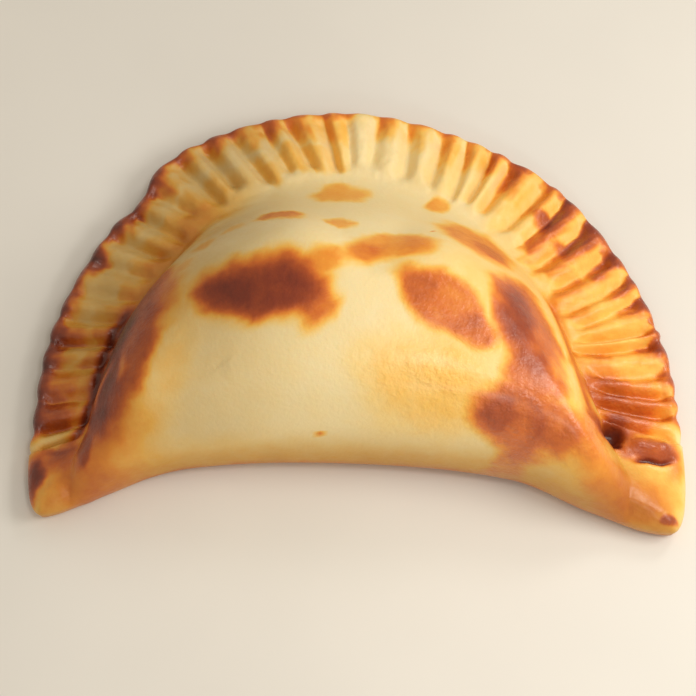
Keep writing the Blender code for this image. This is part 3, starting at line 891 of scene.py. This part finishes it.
DOUGH_LINES = (
    DoughLine(((46.4, -30.0), (45.8, -25.4), (43.8, -17.6), (41.9, -9.7), (39.0, 0.6), (36.3, 6.3)),
              1.1, 1.0, 0.30, 0.52, 0.0),
    DoughLine(((42.0, -18.0), (41.0, -14.6), (40.2, -11.6)), 0.40, 0.35, 0.30, 0.40, 0.6, 0.4),
    # this crease's dark colour, under the overhanging left flank, is painted shade
    DoughLine(((-59.1, -34.1), (-56.0, -30.2), (-53.6, -21.4), (-53.0, -15.4), (-50.7, -7.8), (-46.3, -0.8)),
              0.9, 0.9, 0.0, 0.80, 0.0),
    DoughLine(((64.4, -30.2), (61.0, -31.4), (58.0, -31.2), (54.4, -32.0)), 0.45, 1.0, 0.35, 0.90, 0.0, 0.3),
    DoughLine(((53.5, -29.4), (51.5, -28.6), (48.0, -29.2)), 0.50, 0.8, 0.3, 0.85, 0.0, 0.3),
    DoughLine(((-31.0, -18.0), (-30.2, -22.5), (-28.6, -26.5)), 0.70, 0.22, 0.12, 0.0, 0.0, 0.4),
    DoughLine(((-26.5, -19.0), (-26.6, -24.0), (-25.0, -28.0)), 0.70, 0.16, 0.10, 0.0, 0.0, 0.4),
    DoughLine(((-34.0, -14.0), (-33.4, -19.0), (-32.2, -23.0)), 0.60, 0.14, 0.10, 0.0, 0.0, 0.4),
    DoughLine(((-36.0, 8.0), (-31.0, 13.0), (-26.0, 16.5)), 0.90, 0.30, 0.25, 0.10, 0.0, 0.4),
    DoughLine(((-38.0, 3.0), (-33.0, 8.5), (-27.0, 12.0)), 0.80, 0.26, 0.22, 0.12, 0.0, 0.4),
    DoughLine(((-33.0, 18.0), (-27.0, 21.0), (-20.0, 22.5)), 0.90, 0.24, 0.20, 0.0, 0.0, 0.4),
    DoughLine(((-44.0, -27.5), (-42.8, -23.0), (-43.2, -18.0)), 0.9, 0.30, 0.30, 0.0, 0.40, 0.45),
    DoughLine(((-50.0, -31.0), (-49.0, -26.0), (-46.6, -21.0), (-45.2, -18.6)),
              0.6, 0.35, 0.30, 0.0, 0.42, 0.4),
)


@dataclass(frozen=True)
class BakeSizes:
    """How the bake, with the shade painted into it, spreads over the dough.

    Stations run along the rim, runs inwards as shares of its width, and phases across a rib from one
    crease to the next. Each pair of wander and ragged is a reach and the size of its unevenness. Streak
    is a reach, a size, and how much of the way inwards it reads, which draws it out into streaks.
    """

    dough: float = 0.04
    blend: float = 4.0
    wander: tuple[Pair, ...] = ((0.0019, 0.009), (0.0009, 0.0034), (0.0003, 0.0012))
    wander_seeds: Pair = (3.0, 7.0)
    ragged: tuple[Pair, ...] = ((0.15, 0.0050), (0.08, 0.0018))
    ragged_seed: float = 11.0
    streak: tuple[float, float, float] = (0.16, 0.0012, 0.22)
    streak_seeds: Pair = (2.0, 4.0)
    streak_step: float = 2.6
    streak_shift: float = 0.5
    streak_bake: float = 0.9
    rim_blend: int = 3
    brown_phases: tuple[float, float, float, float] = (0.12, 0.76, 0.97, 1.14)
    pale_phase: float = 0.14
    fade: Pair = (-0.34, 0.24)
    # where the inner ends of the creases darken, partly browning and partly painted shade
    deep_runs: tuple[float, float, float, float] = (0.42, 0.68, 0.86, 1.08)
    deep_share: float = 0.45
    edge_stations: Row = (0.0, 0.30, 0.45, 0.60, 0.70, 0.95, 1.0)
    edge_levels: Row = (0.46, 0.54, 0.38, 0.48, 0.68, 0.76, 0.6)
    edge_runs: Row = (0.14, 0.18, 0.16, 0.34, 0.42, 0.42, 0.2)
    edge_ragged: float = 1.2
    edge_streak: float = 0.5
    warm_levels: Row = (0.32, 0.22, 0.06, 0.03, 0.06, 0.22, 0.32)
    warm_runs: Pair = (0.8, 1.2)
    brown_shares: Row = (0.94, 0.92, 0.80, 0.70, 0.80, 0.88, 0.9)
    # where painted shade darkens the valley between the left crimps and the dome, and how dark it is
    valley_stations: tuple[float, float, float, float] = (0.56, 0.70, 0.88, 0.94)
    valley_runs: tuple[float, float, float, float] = (0.55, 0.92, 1.10, 1.50)
    valley_shade_level: float = 0.33
    valley_ragged: float = 0.6
    shine_levels: Row = (0.9, 0.45, 0.15, 0.10, 0.40, 0.55, 0.4)
    shine_runs: Pair = (0.9, 1.1)
    shine_bakes: Pair = (0.2, 0.6)
    under: float = 0.36
    under_swing: float = 0.10
    # where painted shade darkens the pale dough: on the left, away from the key light, and low on the folded
    # side
    shade_x: Pair = (-0.034, -0.004)
    shade_y: Pair = (-0.030, -0.010)
    shade_z: Pair = (0.007, 0.024)
    shade_left: float = 0.85
    shade_low_left: float = 0.55
    shade_low: float = 0.85
    # bake level laid low on the folded side as painted shade
    low_shade_bake: float = 0.26
    end_fade: float = 0.024
    end_ragged: float = 0.03


class BakeMap:
    """Works out each crust vertex's bake, its gloss, and the shade painted into its colour."""

    def __init__(self, reading: DoughReading, rim_length: float) -> None:
        """Reads the unevenness once.

        Args:
            reading: the dough's vertices.
            rim_length: length of the rim round the back.
        """
        self.sizes = BakeSizes()
        sizes = self.sizes
        self.last_crease = CrimpSizes().last_crease[0]
        self.reading = reading
        points = reading.form
        self.wander = sum(
            reach * np.column_stack([unevenness(points, size, seed) for seed in sizes.wander_seeds])
            for reach, size in sizes.wander
        )
        self.ragged = sum(reach * unevenness(points, size, sizes.ragged_seed) for reach, size in sizes.ragged)
        reach, size, stretch = sizes.streak
        first_seed, second_seed = sizes.streak_seeds
        flat = np.zeros(len(points))
        along = np.column_stack([reading.column * rim_length, reading.from_rim * stretch, flat])
        coarse = unevenness(along, size * sizes.streak_step, second_seed)
        self.streak = reach * (unevenness(along, size, first_seed) + coarse)

    def along_rim(self, levels: Row) -> np.ndarray:
        """One of the rim's rows of levels, at each vertex's column."""
        return np.interp(self.reading.column, self.sizes.edge_stations, levels)

    def spots(self, patches: Sequence[BakedPatch]) -> tuple[np.ndarray, np.ndarray]:
        """Lays patches on the dough, run together where they meet.

        Args:
            patches: the baked patches.

        Returns:
            The bake level and the gloss at each vertex.
        """
        plan = self.reading.plan + self.wander
        level = np.zeros(len(plan))
        gloss = np.zeros(len(plan))
        for spot in patches:
            cover = spot.cover(plan)
            level += (spot.level * cover) ** self.sizes.blend
            gloss = np.maximum(gloss, spot.gloss * cover)
        return level ** (1 / self.sizes.blend), gloss

    def rim(self) -> np.ndarray:
        """Browns the crimped rim, rib by rib, with painted shade on the ribs' left slopes and inner ends.

        Returns:
            The bake level at each vertex, painted shade included, 0 off the crimps.
        """
        reading, sizes = self.reading, self.sizes
        run = reading.run_in + self.ragged
        first, second, third, last = sizes.deep_runs
        inner = smooth(first, second, run) * (1 - smooth(third, last, run))
        rise, risen, fall, fallen = sizes.brown_phases
        share = self.along_rim(sizes.brown_shares)
        whole = np.floor(reading.number)
        level = np.zeros(len(run))
        baked = np.array([(rib.brown_and_shade, rib.reach, rib.pale, rib.deep) for rib in RIBS]).T
        for back in (0, 1):
            phase = reading.number - whole + back + sizes.streak_shift * self.streak
            counted = np.clip(whole - back, 0, len(RIBS) - 1).astype(int)
            brown_and_shade, reach, pale, deep = baked[:, counted]
            # the left slope's brown and the inner end's deep level are partly browning and partly painted
            # shade
            left = smooth(rise, risen, phase) * (1 - smooth(fall, fallen, phase))
            here = smooth(-sizes.pale_phase, sizes.pale_phase, phase) * (1 - smooth(1.0, fallen, phase))
            outer = 1 - smooth(*sizes.fade, run - reach)
            level = np.maximum(level, np.maximum(brown_and_shade * share * left, pale * here) * outer)
            filled = sizes.deep_share + (1 - sizes.deep_share) * left
            level = np.maximum(level, deep * inner * here * filled)
        depth = reading.run_in + sizes.edge_ragged * self.ragged + sizes.edge_streak * self.streak
        edge = self.along_rim(sizes.edge_levels)
        edge = edge * (1 - smooth(0.0, 1.0, depth / self.along_rim(sizes.edge_runs)))
        warm = self.along_rim(sizes.warm_levels) * (1 - smooth(*sizes.warm_runs, run))
        power = sizes.rim_blend
        level = (level ** power + edge ** power + warm ** power) ** (1 / power)
        level = level * (1 + sizes.streak_bake * self.streak)
        crimped = (reading.number >= 0) & (reading.number < len(RIBS))
        first_crease, last_crease = RIBS[0].crease, self.last_crease
        column = reading.column + sizes.end_ragged * self.ragged
        ends = smooth(first_crease, first_crease + sizes.end_fade, column)
        ends = ends * (1 - smooth(last_crease - sizes.end_fade, last_crease, column))
        return np.where(crimped, np.maximum(level, 0.0), 0.0) * ends

    def valley_shade(self) -> np.ndarray:
        """Finds the valley between the left crimps and the dome, where painted shade darkens the dough.

        Returns:
            How far each vertex is in it, from 0 to 1.
        """
        sizes, reading = self.sizes, self.reading
        first, second, third, last = sizes.valley_stations
        near, deep, out, end = sizes.valley_runs
        along = smooth(first, second, reading.station) * (1 - smooth(third, last, reading.station))
        run = reading.run_in + sizes.valley_ragged * self.ragged
        return along * smooth(near, deep, run) * (1 - smooth(out, end, run))

    def painted_shade(self) -> np.ndarray:
        """Paints shade into the pale dough: on the left, in the valley and low on the folded side.

        Returns:
            How far each vertex is darkened by the painted shade, from 0 to 1.
        """
        form, sizes = self.reading.form, self.sizes
        left = 1 - smooth(*sizes.shade_x, form[:, 0])
        lower = 1 - smooth(*sizes.shade_y, form[:, 1])
        level = left * (sizes.shade_left + (sizes.shade_low_left - sizes.shade_left) * lower)
        low = self.low() * sizes.shade_low
        return np.maximum(np.maximum(level, low), self.valley_shade())

    def low(self) -> np.ndarray:
        """How low each vertex is on the folded side, from 0 to 1."""
        return (1 - smooth(*self.sizes.shade_z, self.reading.form[:, 2])) * self.reading.on_fold

    def levels(self) -> dict[str, np.ndarray]:
        """The levels that the crust's material reads.

        Returns:
            Values from 0 to 1 by attribute name: bake with some painted shade in it, gloss, and the painted
                shade.
        """
        sizes, reading = self.sizes, self.reading
        spots, gloss = self.spots(PATCHES)
        warm, warm_gloss = self.spots(WARM_DOUGH)
        power = sizes.blend
        # painted shade laid into the bake: darker dough low on the folded side and in the valley
        low = self.low() * sizes.low_shade_bake
        valley_shade = self.valley_shade() * sizes.valley_shade_level
        layers = (spots, self.rim(), warm, low, valley_shade, sizes.dough)
        bake = sum(layer ** power for layer in layers) ** (1 / power)
        # each groove takes its line's colour, partly browning and partly painted shade
        for line in DOUGH_LINES:
            groove, lip = line.cover(reading.plan)
            bake = bake + (line.bake - bake) * groove * (line.bake > 0)
            bake = bake * (1 - line.pale * lip)
        under = sizes.under + sizes.under_swing * self.wander[:, 0] / sizes.wander[0][0]
        bake = np.where(reading.under, np.maximum(bake, under), bake)
        on_rim = (reading.number >= 0) * (1 - smooth(*sizes.shine_runs, reading.run_in))
        shine = self.along_rim(sizes.shine_levels) * on_rim * smooth(*sizes.shine_bakes, bake)
        gloss = np.maximum(np.maximum(gloss, warm_gloss), shine)
        return {"bake": np.clip(bake, 0.0, 1.0), "gloss": np.clip(gloss, 0.0, 1.0), "painted_shade": self.painted_shade()}


def tint(red: float, green: float, blue: float) -> tuple[float, float, float, float]:
    """Turns a screen colour into the linear one that a shader reads, by the usual curve of screens.

    Args:
        red: from 0 to 255.
        green: from 0 to 255.
        blue: from 0 to 255.

    Returns:
        Red, green and blue from 0 to 1, and 1 for opaque.
    """
    steps = [value / 255 for value in (red, green, blue)]
    linear = [value / 12.92 if value <= 0.04045 else ((value + 0.055) / 1.055) ** 2.4 for value in steps]
    return (*linear, 1.0)


@dataclass(frozen=True)
class Grain:
    """Noise, by its lumps to the metre, the number of its finer layers, and how strong they are."""

    per_metre: float
    detail: float
    roughness: float


@dataclass(frozen=True)
class Span:
    """A range of values, and the range that it is stretched to."""

    low: float
    high: float
    to_low: float
    to_high: float


@dataclass(frozen=True)
class Relief:
    """Height of a bump in metres, and its strength."""

    distance: float
    strength: float


class NodeSheet:
    """Lays out a material's nodes, so that a finish reads as a list of what it is made of."""

    def __init__(self, name: str) -> None:
        """Starts an empty material.

        Args:
            name: the material's name.
        """
        self.material = bpy.data.materials.new(name)
        self.material.use_nodes = True
        self.tree = self.material.node_tree
        self.shader = self.tree.nodes["Principled BSDF"]

    def node(self, kind: str, **settings: object) -> bpy.types.Node:
        """Adds a node.

        Args:
            kind: its Blender type.
            settings: its own settings, by name.

        Returns:
            The node.
        """
        made = self.tree.nodes.new(kind)
        for name, value in settings.items():
            setattr(made, name, value)
        return made

    def feed(self, target: bpy.types.NodeSocket, value: object) -> None:
        """Links a socket to a target, or sets a plain value on it.

        Args:
            target: the input to feed.
            value: another node's output, or a value.
        """
        if isinstance(value, bpy.types.NodeSocket):
            self.tree.links.new(value, target)
        else:
            target.default_value = value

    def math(self, operation: str, *values: object) -> bpy.types.NodeSocket:
        """Adds a Math node.

        Args:
            operation: what it does.
            values: its inputs in order, outputs of other nodes or numbers.

        Returns:
            Its result.
        """
        made = self.node("ShaderNodeMath", operation=operation)
        for socket, value in zip(made.inputs, values):
            self.feed(socket, value)
        return made.outputs[0]

    def level(self, name: str) -> bpy.types.NodeSocket:
        """One of the mesh's own levels."""
        return self.node("ShaderNodeAttribute", attribute_name=name).outputs["Fac"]

    def place(self) -> bpy.types.NodeSocket:
        """Object coordinates."""
        return self.node("ShaderNodeTexCoord").outputs["Object"]

    def grain(self, place: object, grain: Grain) -> bpy.types.NodeSocket:
        """Adds noise.

        Args:
            place: coordinates to read it at.
            grain: the sizes of the noise.

        Returns:
            Its value.
        """
        made = self.node("ShaderNodeTexNoise")
        self.feed(made.inputs["Vector"], place)
        self.feed(made.inputs["Scale"], grain.per_metre)
        self.feed(made.inputs["Detail"], grain.detail)
        self.feed(made.inputs["Roughness"], grain.roughness)
        return made.outputs[0]

    def spread(self, value: object, span: Span) -> bpy.types.NodeSocket:
        """Stretches a value's range to another range.

        Args:
            value: what is stretched.
            span: from which range to which.

        Returns:
            The stretched value, kept in its new range.
        """
        made = self.node("ShaderNodeMapRange", clamp=True)
        for socket, number in zip(made.inputs, (value, span.low, span.high, span.to_low, span.to_high)):
            self.feed(socket, number)
        return made.outputs[0]

    def ramp(self, value: object, stops: Stops) -> bpy.types.NodeSocket:
        """Adds a ramp of colours.

        Args:
            value: what the ramp is read at.
            stops: positions on the ramp, each with its screen colour.

        Returns:
            The colour.
        """
        made = self.node("ShaderNodeValToRGB")
        elements = made.color_ramp.elements
        while len(elements) < len(stops):
            elements.new(0.5)                    # it is moved to its stop below
        for element, (position, colour) in zip(elements, stops):
            element.position = position
            element.color = tint(*colour)
        self.feed(made.inputs[0], value)
        return made.outputs[0]

    def bump(self, height: object, relief: Relief, below: object = None) -> bpy.types.NodeSocket:
        """Adds a bump.

        Args:
            height: its height over the surface.
            relief: how high and how strong it is.
            below: the normal of a bump that it lies on.

        Returns:
            Its normal.
        """
        made = self.node("ShaderNodeBump")
        self.feed(made.inputs["Strength"], relief.strength)
        self.feed(made.inputs["Distance"], relief.distance)
        self.feed(made.inputs["Height"], height)
        if below is not None:
            self.feed(made.inputs["Normal"], below)
        return made.outputs[0]


@dataclass(frozen=True)
class BakedCrustFinish:
    """Egg-washed dough: cream where it stayed pale, through gold and orange to a red-brown and char."""

    stops: Stops = (
        (0.00, (240, 223, 176)), (0.12, (244, 213, 142)), (0.25, (246, 192, 88)), (0.38, (238, 152, 48)),
        (0.50, (214, 111, 33)), (0.62, (175, 78, 26)), (0.76, (136, 52, 24)), (0.90, (90, 33, 20)),
        (1.00, (34, 15, 12)),
    )
    # colour that the painted shade multiplies the dough by
    painted_shade: Colour = (198, 186, 166)
    mottle_grain: Grain = Grain(260.0, 5.0, 0.6)
    fine_grain: Grain = Grain(1200.0, 2.0, 0.5)
    cloud_grain: Grain = Grain(70.0, 3.0, 0.5)
    wet_grain: Grain = Grain(620.0, 2.0, 0.55)
    mottle_share: float = 0.6
    cloud_share: float = 0.4
    swing_middle: float = 0.5
    swing: float = 0.36
    swing_by_bake: Span = Span(0.0, 0.45, 0.30, 1.0)
    shade_by_cloud: Span = Span(0.3, 0.7, 0.85, 1.15)
    rough_by_bake: Span = Span(0.0, 0.8, 0.50, 0.40)
    rough_by_fine: Span = Span(0.3, 0.7, -0.05, 0.05)
    gloss_polish: float = 0.10
    coat_by_gloss: Span = Span(0.0, 1.0, 0.0, 0.60)
    coat_roughness: float = 0.24
    glow: float = 0.10
    glow_radius: Colour = (0.003, 0.0015, 0.0007)
    glow_scale: float = 1.0
    blister_by_bake: Span = Span(0.25, 0.6, 0.12, 0.7)
    blister_relief: Relief = Relief(0.0009, 0.6)
    wet_relief: Relief = Relief(0.0007, 0.7)
    fine_relief: Relief = Relief(0.00016, 0.5)

    def material(self) -> bpy.types.Material:
        """Makes the crust's material, which reads the mesh's bake, gloss and painted shade levels.

        Returns:
            The material.
        """
        sheet = NodeSheet("baked_crust")
        inputs = sheet.shader.inputs
        place = sheet.place()
        mottle = sheet.grain(place, self.mottle_grain)
        fine = sheet.grain(place, self.fine_grain)
        cloud = sheet.grain(place, self.cloud_grain)
        bake, gloss, painted_shade = (sheet.level(name) for name in ("bake", "gloss", "painted_shade"))

        mottle_part = sheet.math("MULTIPLY", mottle, self.mottle_share)
        cloud_part = sheet.math("MULTIPLY", cloud, self.cloud_share)
        both = sheet.math("ADD", mottle_part, cloud_part)
        swing = sheet.math("MULTIPLY", sheet.math("SUBTRACT", both, self.swing_middle), self.swing)
        swing = sheet.math("MULTIPLY", swing, sheet.spread(bake, self.swing_by_bake))
        # painted shade: the dough's colour is darkened by the mesh's shade level
        shaded_colour = sheet.node("ShaderNodeMix", data_type="RGBA", blend_type="MULTIPLY")
        shade_share = sheet.math("MULTIPLY", painted_shade, sheet.spread(cloud, self.shade_by_cloud))
        sheet.feed(shaded_colour.inputs["Factor"], shade_share)
        sheet.feed(shaded_colour.inputs["A"], sheet.ramp(sheet.math("ADD", bake, swing), self.stops))
        sheet.feed(shaded_colour.inputs["B"], tint(*self.painted_shade))
        sheet.feed(inputs["Base Color"], shaded_colour.outputs["Result"])

        polish = sheet.math("MULTIPLY", gloss, self.gloss_polish)
        rough = sheet.math("SUBTRACT", sheet.spread(bake, self.rough_by_bake), polish)
        sheet.feed(inputs["Roughness"], sheet.math("ADD", rough, sheet.spread(fine, self.rough_by_fine)))
        sheet.feed(inputs["Coat Weight"], sheet.spread(gloss, self.coat_by_gloss))
        inputs["Coat Roughness"].default_value = self.coat_roughness
        inputs["Subsurface Weight"].default_value = self.glow
        inputs["Subsurface Radius"].default_value = self.glow_radius
        inputs["Subsurface Scale"].default_value = self.glow_scale

        blister = sheet.math("MAXIMUM", sheet.spread(bake, self.blister_by_bake), gloss)
        relief = sheet.bump(sheet.math("MULTIPLY", mottle, blister), self.blister_relief)
        wet = sheet.math("MULTIPLY", sheet.grain(place, self.wet_grain), gloss)
        relief = sheet.bump(wet, self.wet_relief, relief)
        sheet.feed(inputs["Normal"], sheet.bump(fine, self.fine_relief, relief))
        return sheet.material


@dataclass(frozen=True)
class FloorFinish:
    """A matt, pale studio floor."""

    stops: Stops = ((0.35, (224, 221, 216)), (0.65, (232, 229, 224)))
    cloud_grain: Grain = Grain(6.0, 4.0, 0.6)
    rough_by_cloud: Span = Span(0.3, 0.7, 0.78, 0.88)

    def material(self) -> bpy.types.Material:
        """Makes the floor's material.

        Returns:
            The material.
        """
        sheet = NodeSheet("pale_floor")
        cloud = sheet.grain(sheet.place(), self.cloud_grain)
        sheet.feed(sheet.shader.inputs["Base Color"], sheet.ramp(cloud, self.stops))
        sheet.feed(sheet.shader.inputs["Roughness"], sheet.spread(cloud, self.rough_by_cloud))
        return sheet.material


@dataclass
class EmpanadaCrust:
    """The whole empanada, as one closed piece of dough."""

    dough: DoughForm = field(default_factory=DoughForm)
    name: str = "empanada_crust"
    rim_lumps: tuple[Pair, ...] = ((0.00035, 0.0040), (0.00014, 0.0015))
    rim_seed: float = 5.0
    rim_runs: Pair = (0.9, 1.3)
    relief_start: Pair = (0.0, 0.002)
    seam_gap: float = 1e-7
    slice_gap: float = 1e-6

    def sheet(self) -> tuple[bpy.types.Object, np.ndarray, np.ndarray, np.ndarray]:
        """Adds the sheet of dough that is wrapped round, with a column for each place on the outline.

        Returns:
            The sheet, and for each of its vertices the outline length, the inward share, and whether it
            is under the edge.
        """
        places = np.append(self.dough.column_places(), self.dough.outline.length)
        top, base = self.dough.mesh.ring_shares()
        shares = np.concatenate([[1.0], top, base, [1.0]])
        below = np.arange(len(shares)) > len(top)
        bpy.ops.object.select_all(action="DESELECT")
        bpy.ops.mesh.primitive_grid_add(
            x_subdivisions=len(places) - 1, y_subdivisions=len(shares) - 1, size=1.0, calc_uvs=False
        )
        piece = bpy.context.object
        piece.name = piece.data.name = self.name
        flat = np.empty(len(piece.data.vertices) * 3)
        piece.data.vertices.foreach_get("co", flat)
        flat = flat.reshape(-1, 3)
        column = np.rint((flat[:, 0] + 0.5) * (len(places) - 1)).astype(int)
        row = np.rint((0.5 - flat[:, 1]) * (len(shares) - 1)).astype(int)
        return piece, places[column], shares[row], below[row]

    def close(self, piece: bpy.types.Object) -> None:
        """Closes the seam and both poles, slices the base level at z = 0, and turns all faces outwards.

        Args:
            piece: the wrapped sheet.
        """
        bpy.ops.object.mode_set(mode="EDIT")
        bpy.ops.mesh.select_all(action="SELECT")
        bpy.ops.mesh.remove_doubles(threshold=self.seam_gap)
        bpy.ops.mesh.select_all(action="SELECT")
        bpy.ops.mesh.bisect(
            plane_co=(0, 0, 0), plane_no=(0, 0, 1), use_fill=True, clear_inner=True, threshold=self.slice_gap
        )
        bpy.ops.mesh.select_all(action="SELECT")
        bpy.ops.mesh.normals_make_consistent(inside=False)
        bpy.ops.object.mode_set(mode="OBJECT")
        piece.data.update()

    def settle(self, reading: DoughReading) -> None:
        """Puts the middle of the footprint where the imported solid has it.

        Args:
            reading: the dough's vertices.
        """
        low, high = (np.array(corner[:2]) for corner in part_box(NODE))
        form = reading.form
        shift = (low + high) / 2 - (form[:, :2].min(0) + form[:, :2].max(0)) / 2
        form[:, :2] += shift
        reading.plan += shift

    def roughen(self, reading: DoughReading) -> None:
        """Adds the lines in the dough, the lumps beside the burst, and the crimps' unevenness.

        Args:
            reading: the dough's vertices.
        """
        form = reading.form
        inside = smooth(*self.relief_start, reading.from_edge) * ~reading.under
        lines = sum(line.relief(reading.plan) for line in DOUGH_LINES)
        lumps = sum(lump.rise(reading.plan) for lump in BURST_LUMPS)
        rim = (1 - smooth(*self.rim_runs, reading.run_in)) * (reading.number >= 0)
        uneven = sum(height * unevenness(form, size, self.rim_seed) for height, size in self.rim_lumps)
        form[:, 2] += (lines + lumps + uneven * rim) * inside

    def build(self) -> bpy.types.Object:
        """Forms, bakes and settles the crust.

        Returns:
            The finished piece, still without its material.
        """
        piece, place, share, under = self.sheet()
        reading = self.dough.shape(place, share, under)
        self.settle(reading)
        self.roughen(reading)
        piece.data.vertices.foreach_set("co", reading.form.ravel())
        for name, values in BakeMap(reading, self.dough.outline.rim_length).levels().items():
            layer = piece.data.attributes.new(name, "FLOAT", "POINT")
            layer.data.foreach_set("value", values.astype(np.float32))
        piece.data.update()
        self.close(piece)
        bpy.ops.object.shade_smooth()
        return piece

    def dress(self, piece: bpy.types.Object) -> None:
        """Gives the crust its finish and its place in the frame.

        Args:
            piece: the built crust.
        """
        piece.data.materials.append(BakedCrustFinish().material())
        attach(piece, BODY)
        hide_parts(NODE)


class Side(Enum):
    """Where a studio light stands, as a direction from the empanada."""

    KEY = (0.73, -0.10, 0.67)
    TOP = (0.18, -0.28, 0.94)
    BACK = (0.53, 0.53, 0.67)
    FRONT = (0.21, -0.78, 0.59)


@dataclass(frozen=True)
class SoftLight:
    """A square soft light that looks at the empanada."""

    side: Side
    distance: float
    size: float
    power: float
    colour: Colour

    def place(self, target: Vector) -> None:
        """Adds the light.

        Args:
            target: the point that it looks at.
        """
        lamp = bpy.data.lights.new("light_" + self.side.name.lower(), "AREA")
        lamp.energy = self.power
        lamp.size = self.size
        lamp.color = self.colour
        item = bpy.data.objects.new(lamp.name, lamp)
        direction = Vector(self.side.value).normalized()
        item.location = target + direction * self.distance
        item.rotation_euler = direction.to_track_quat("Z", "Y").to_euler()
        bpy.context.scene.collection.objects.link(item)


@dataclass(frozen=True)
class Studio:
    """Floor, lights and camera."""

    azimuth: float = 2.5
    elevation: float = 66.0
    distance: float = 0.430
    lens: float = 110.0
    sensor: float = 36.0
    clip_start: float = 0.01
    target: tuple[float, float, float] = (-0.0027, -0.0115, 0.0120)
    floor_size: float = 4.0
    world: float = 0.52
    room: Colour = (1.0, 0.90, 0.74)
    lights: tuple[SoftLight, ...] = (
        SoftLight(Side.KEY, 0.26, 0.12, 0.30, (1.0, 0.96, 0.88)),
        SoftLight(Side.TOP, 0.40, 0.07, 0.22, (1.0, 0.97, 0.90)),
        SoftLight(Side.BACK, 0.40, 0.09, 0.22, (1.0, 0.96, 0.88)),
        SoftLight(Side.FRONT, 0.40, 0.05, 0.10, (1.0, 0.97, 0.92)),
    )

    def floor(self) -> None:
        """Adds the floor, which isn't part of the object."""
        bpy.ops.object.select_all(action="DESELECT")
        bpy.ops.mesh.primitive_plane_add(size=self.floor_size, location=(0, 0, 0))
        item = bpy.context.object
        item.name = "studio_floor"
        item.data.materials.append(FloorFinish().material())

    def light(self) -> None:
        """Adds the lights and the pale surroundings."""
        for lamp in self.lights:
            lamp.place(Vector(self.target))
        world = bpy.data.worlds.new("pale_room")
        world.use_nodes = True
        sky = world.node_tree.nodes["Background"]
        sky.inputs[0].default_value = (*self.room, 1.0)
        sky.inputs[1].default_value = self.world
        bpy.context.scene.world = world
        bpy.context.scene.view_settings.view_transform = "Standard"

    def camera(self) -> None:
        """Adds the camera at the viewing angle."""
        turn, rise = math.radians(self.azimuth), math.radians(self.elevation)
        back = Vector((math.sin(turn) * math.cos(rise), -math.cos(turn) * math.cos(rise), math.sin(rise)))
        right = Vector((math.cos(turn), math.sin(turn), 0.0))
        up = back.cross(right)
        lens = bpy.data.cameras.new("studio_camera")
        lens.lens = self.lens
        lens.sensor_width = self.sensor
        lens.clip_start = self.clip_start
        item = bpy.data.objects.new("studio_camera", lens)
        item.matrix_world = (
            Matrix.Translation(Vector(self.target) + back * self.distance)
            @ Matrix((right, up, back)).transposed().to_4x4()
        )
        bpy.context.scene.collection.objects.link(item)
        bpy.context.scene.camera = item


def main() -> None:
    """Builds the studio and the empanada."""
    logging.basicConfig(level=logging.INFO, format="%(name)s: %(message)s")
    studio = Studio()
    studio.camera()
    studio.light()
    studio.floor()
    LOG.info("studio ready")
    crust = EmpanadaCrust()
    piece = crust.build()
    crust.dress(piece)
    LOG.info("%s: %d faces", piece.name, len(piece.data.polygons))


if __name__ == "__main__":
    main()
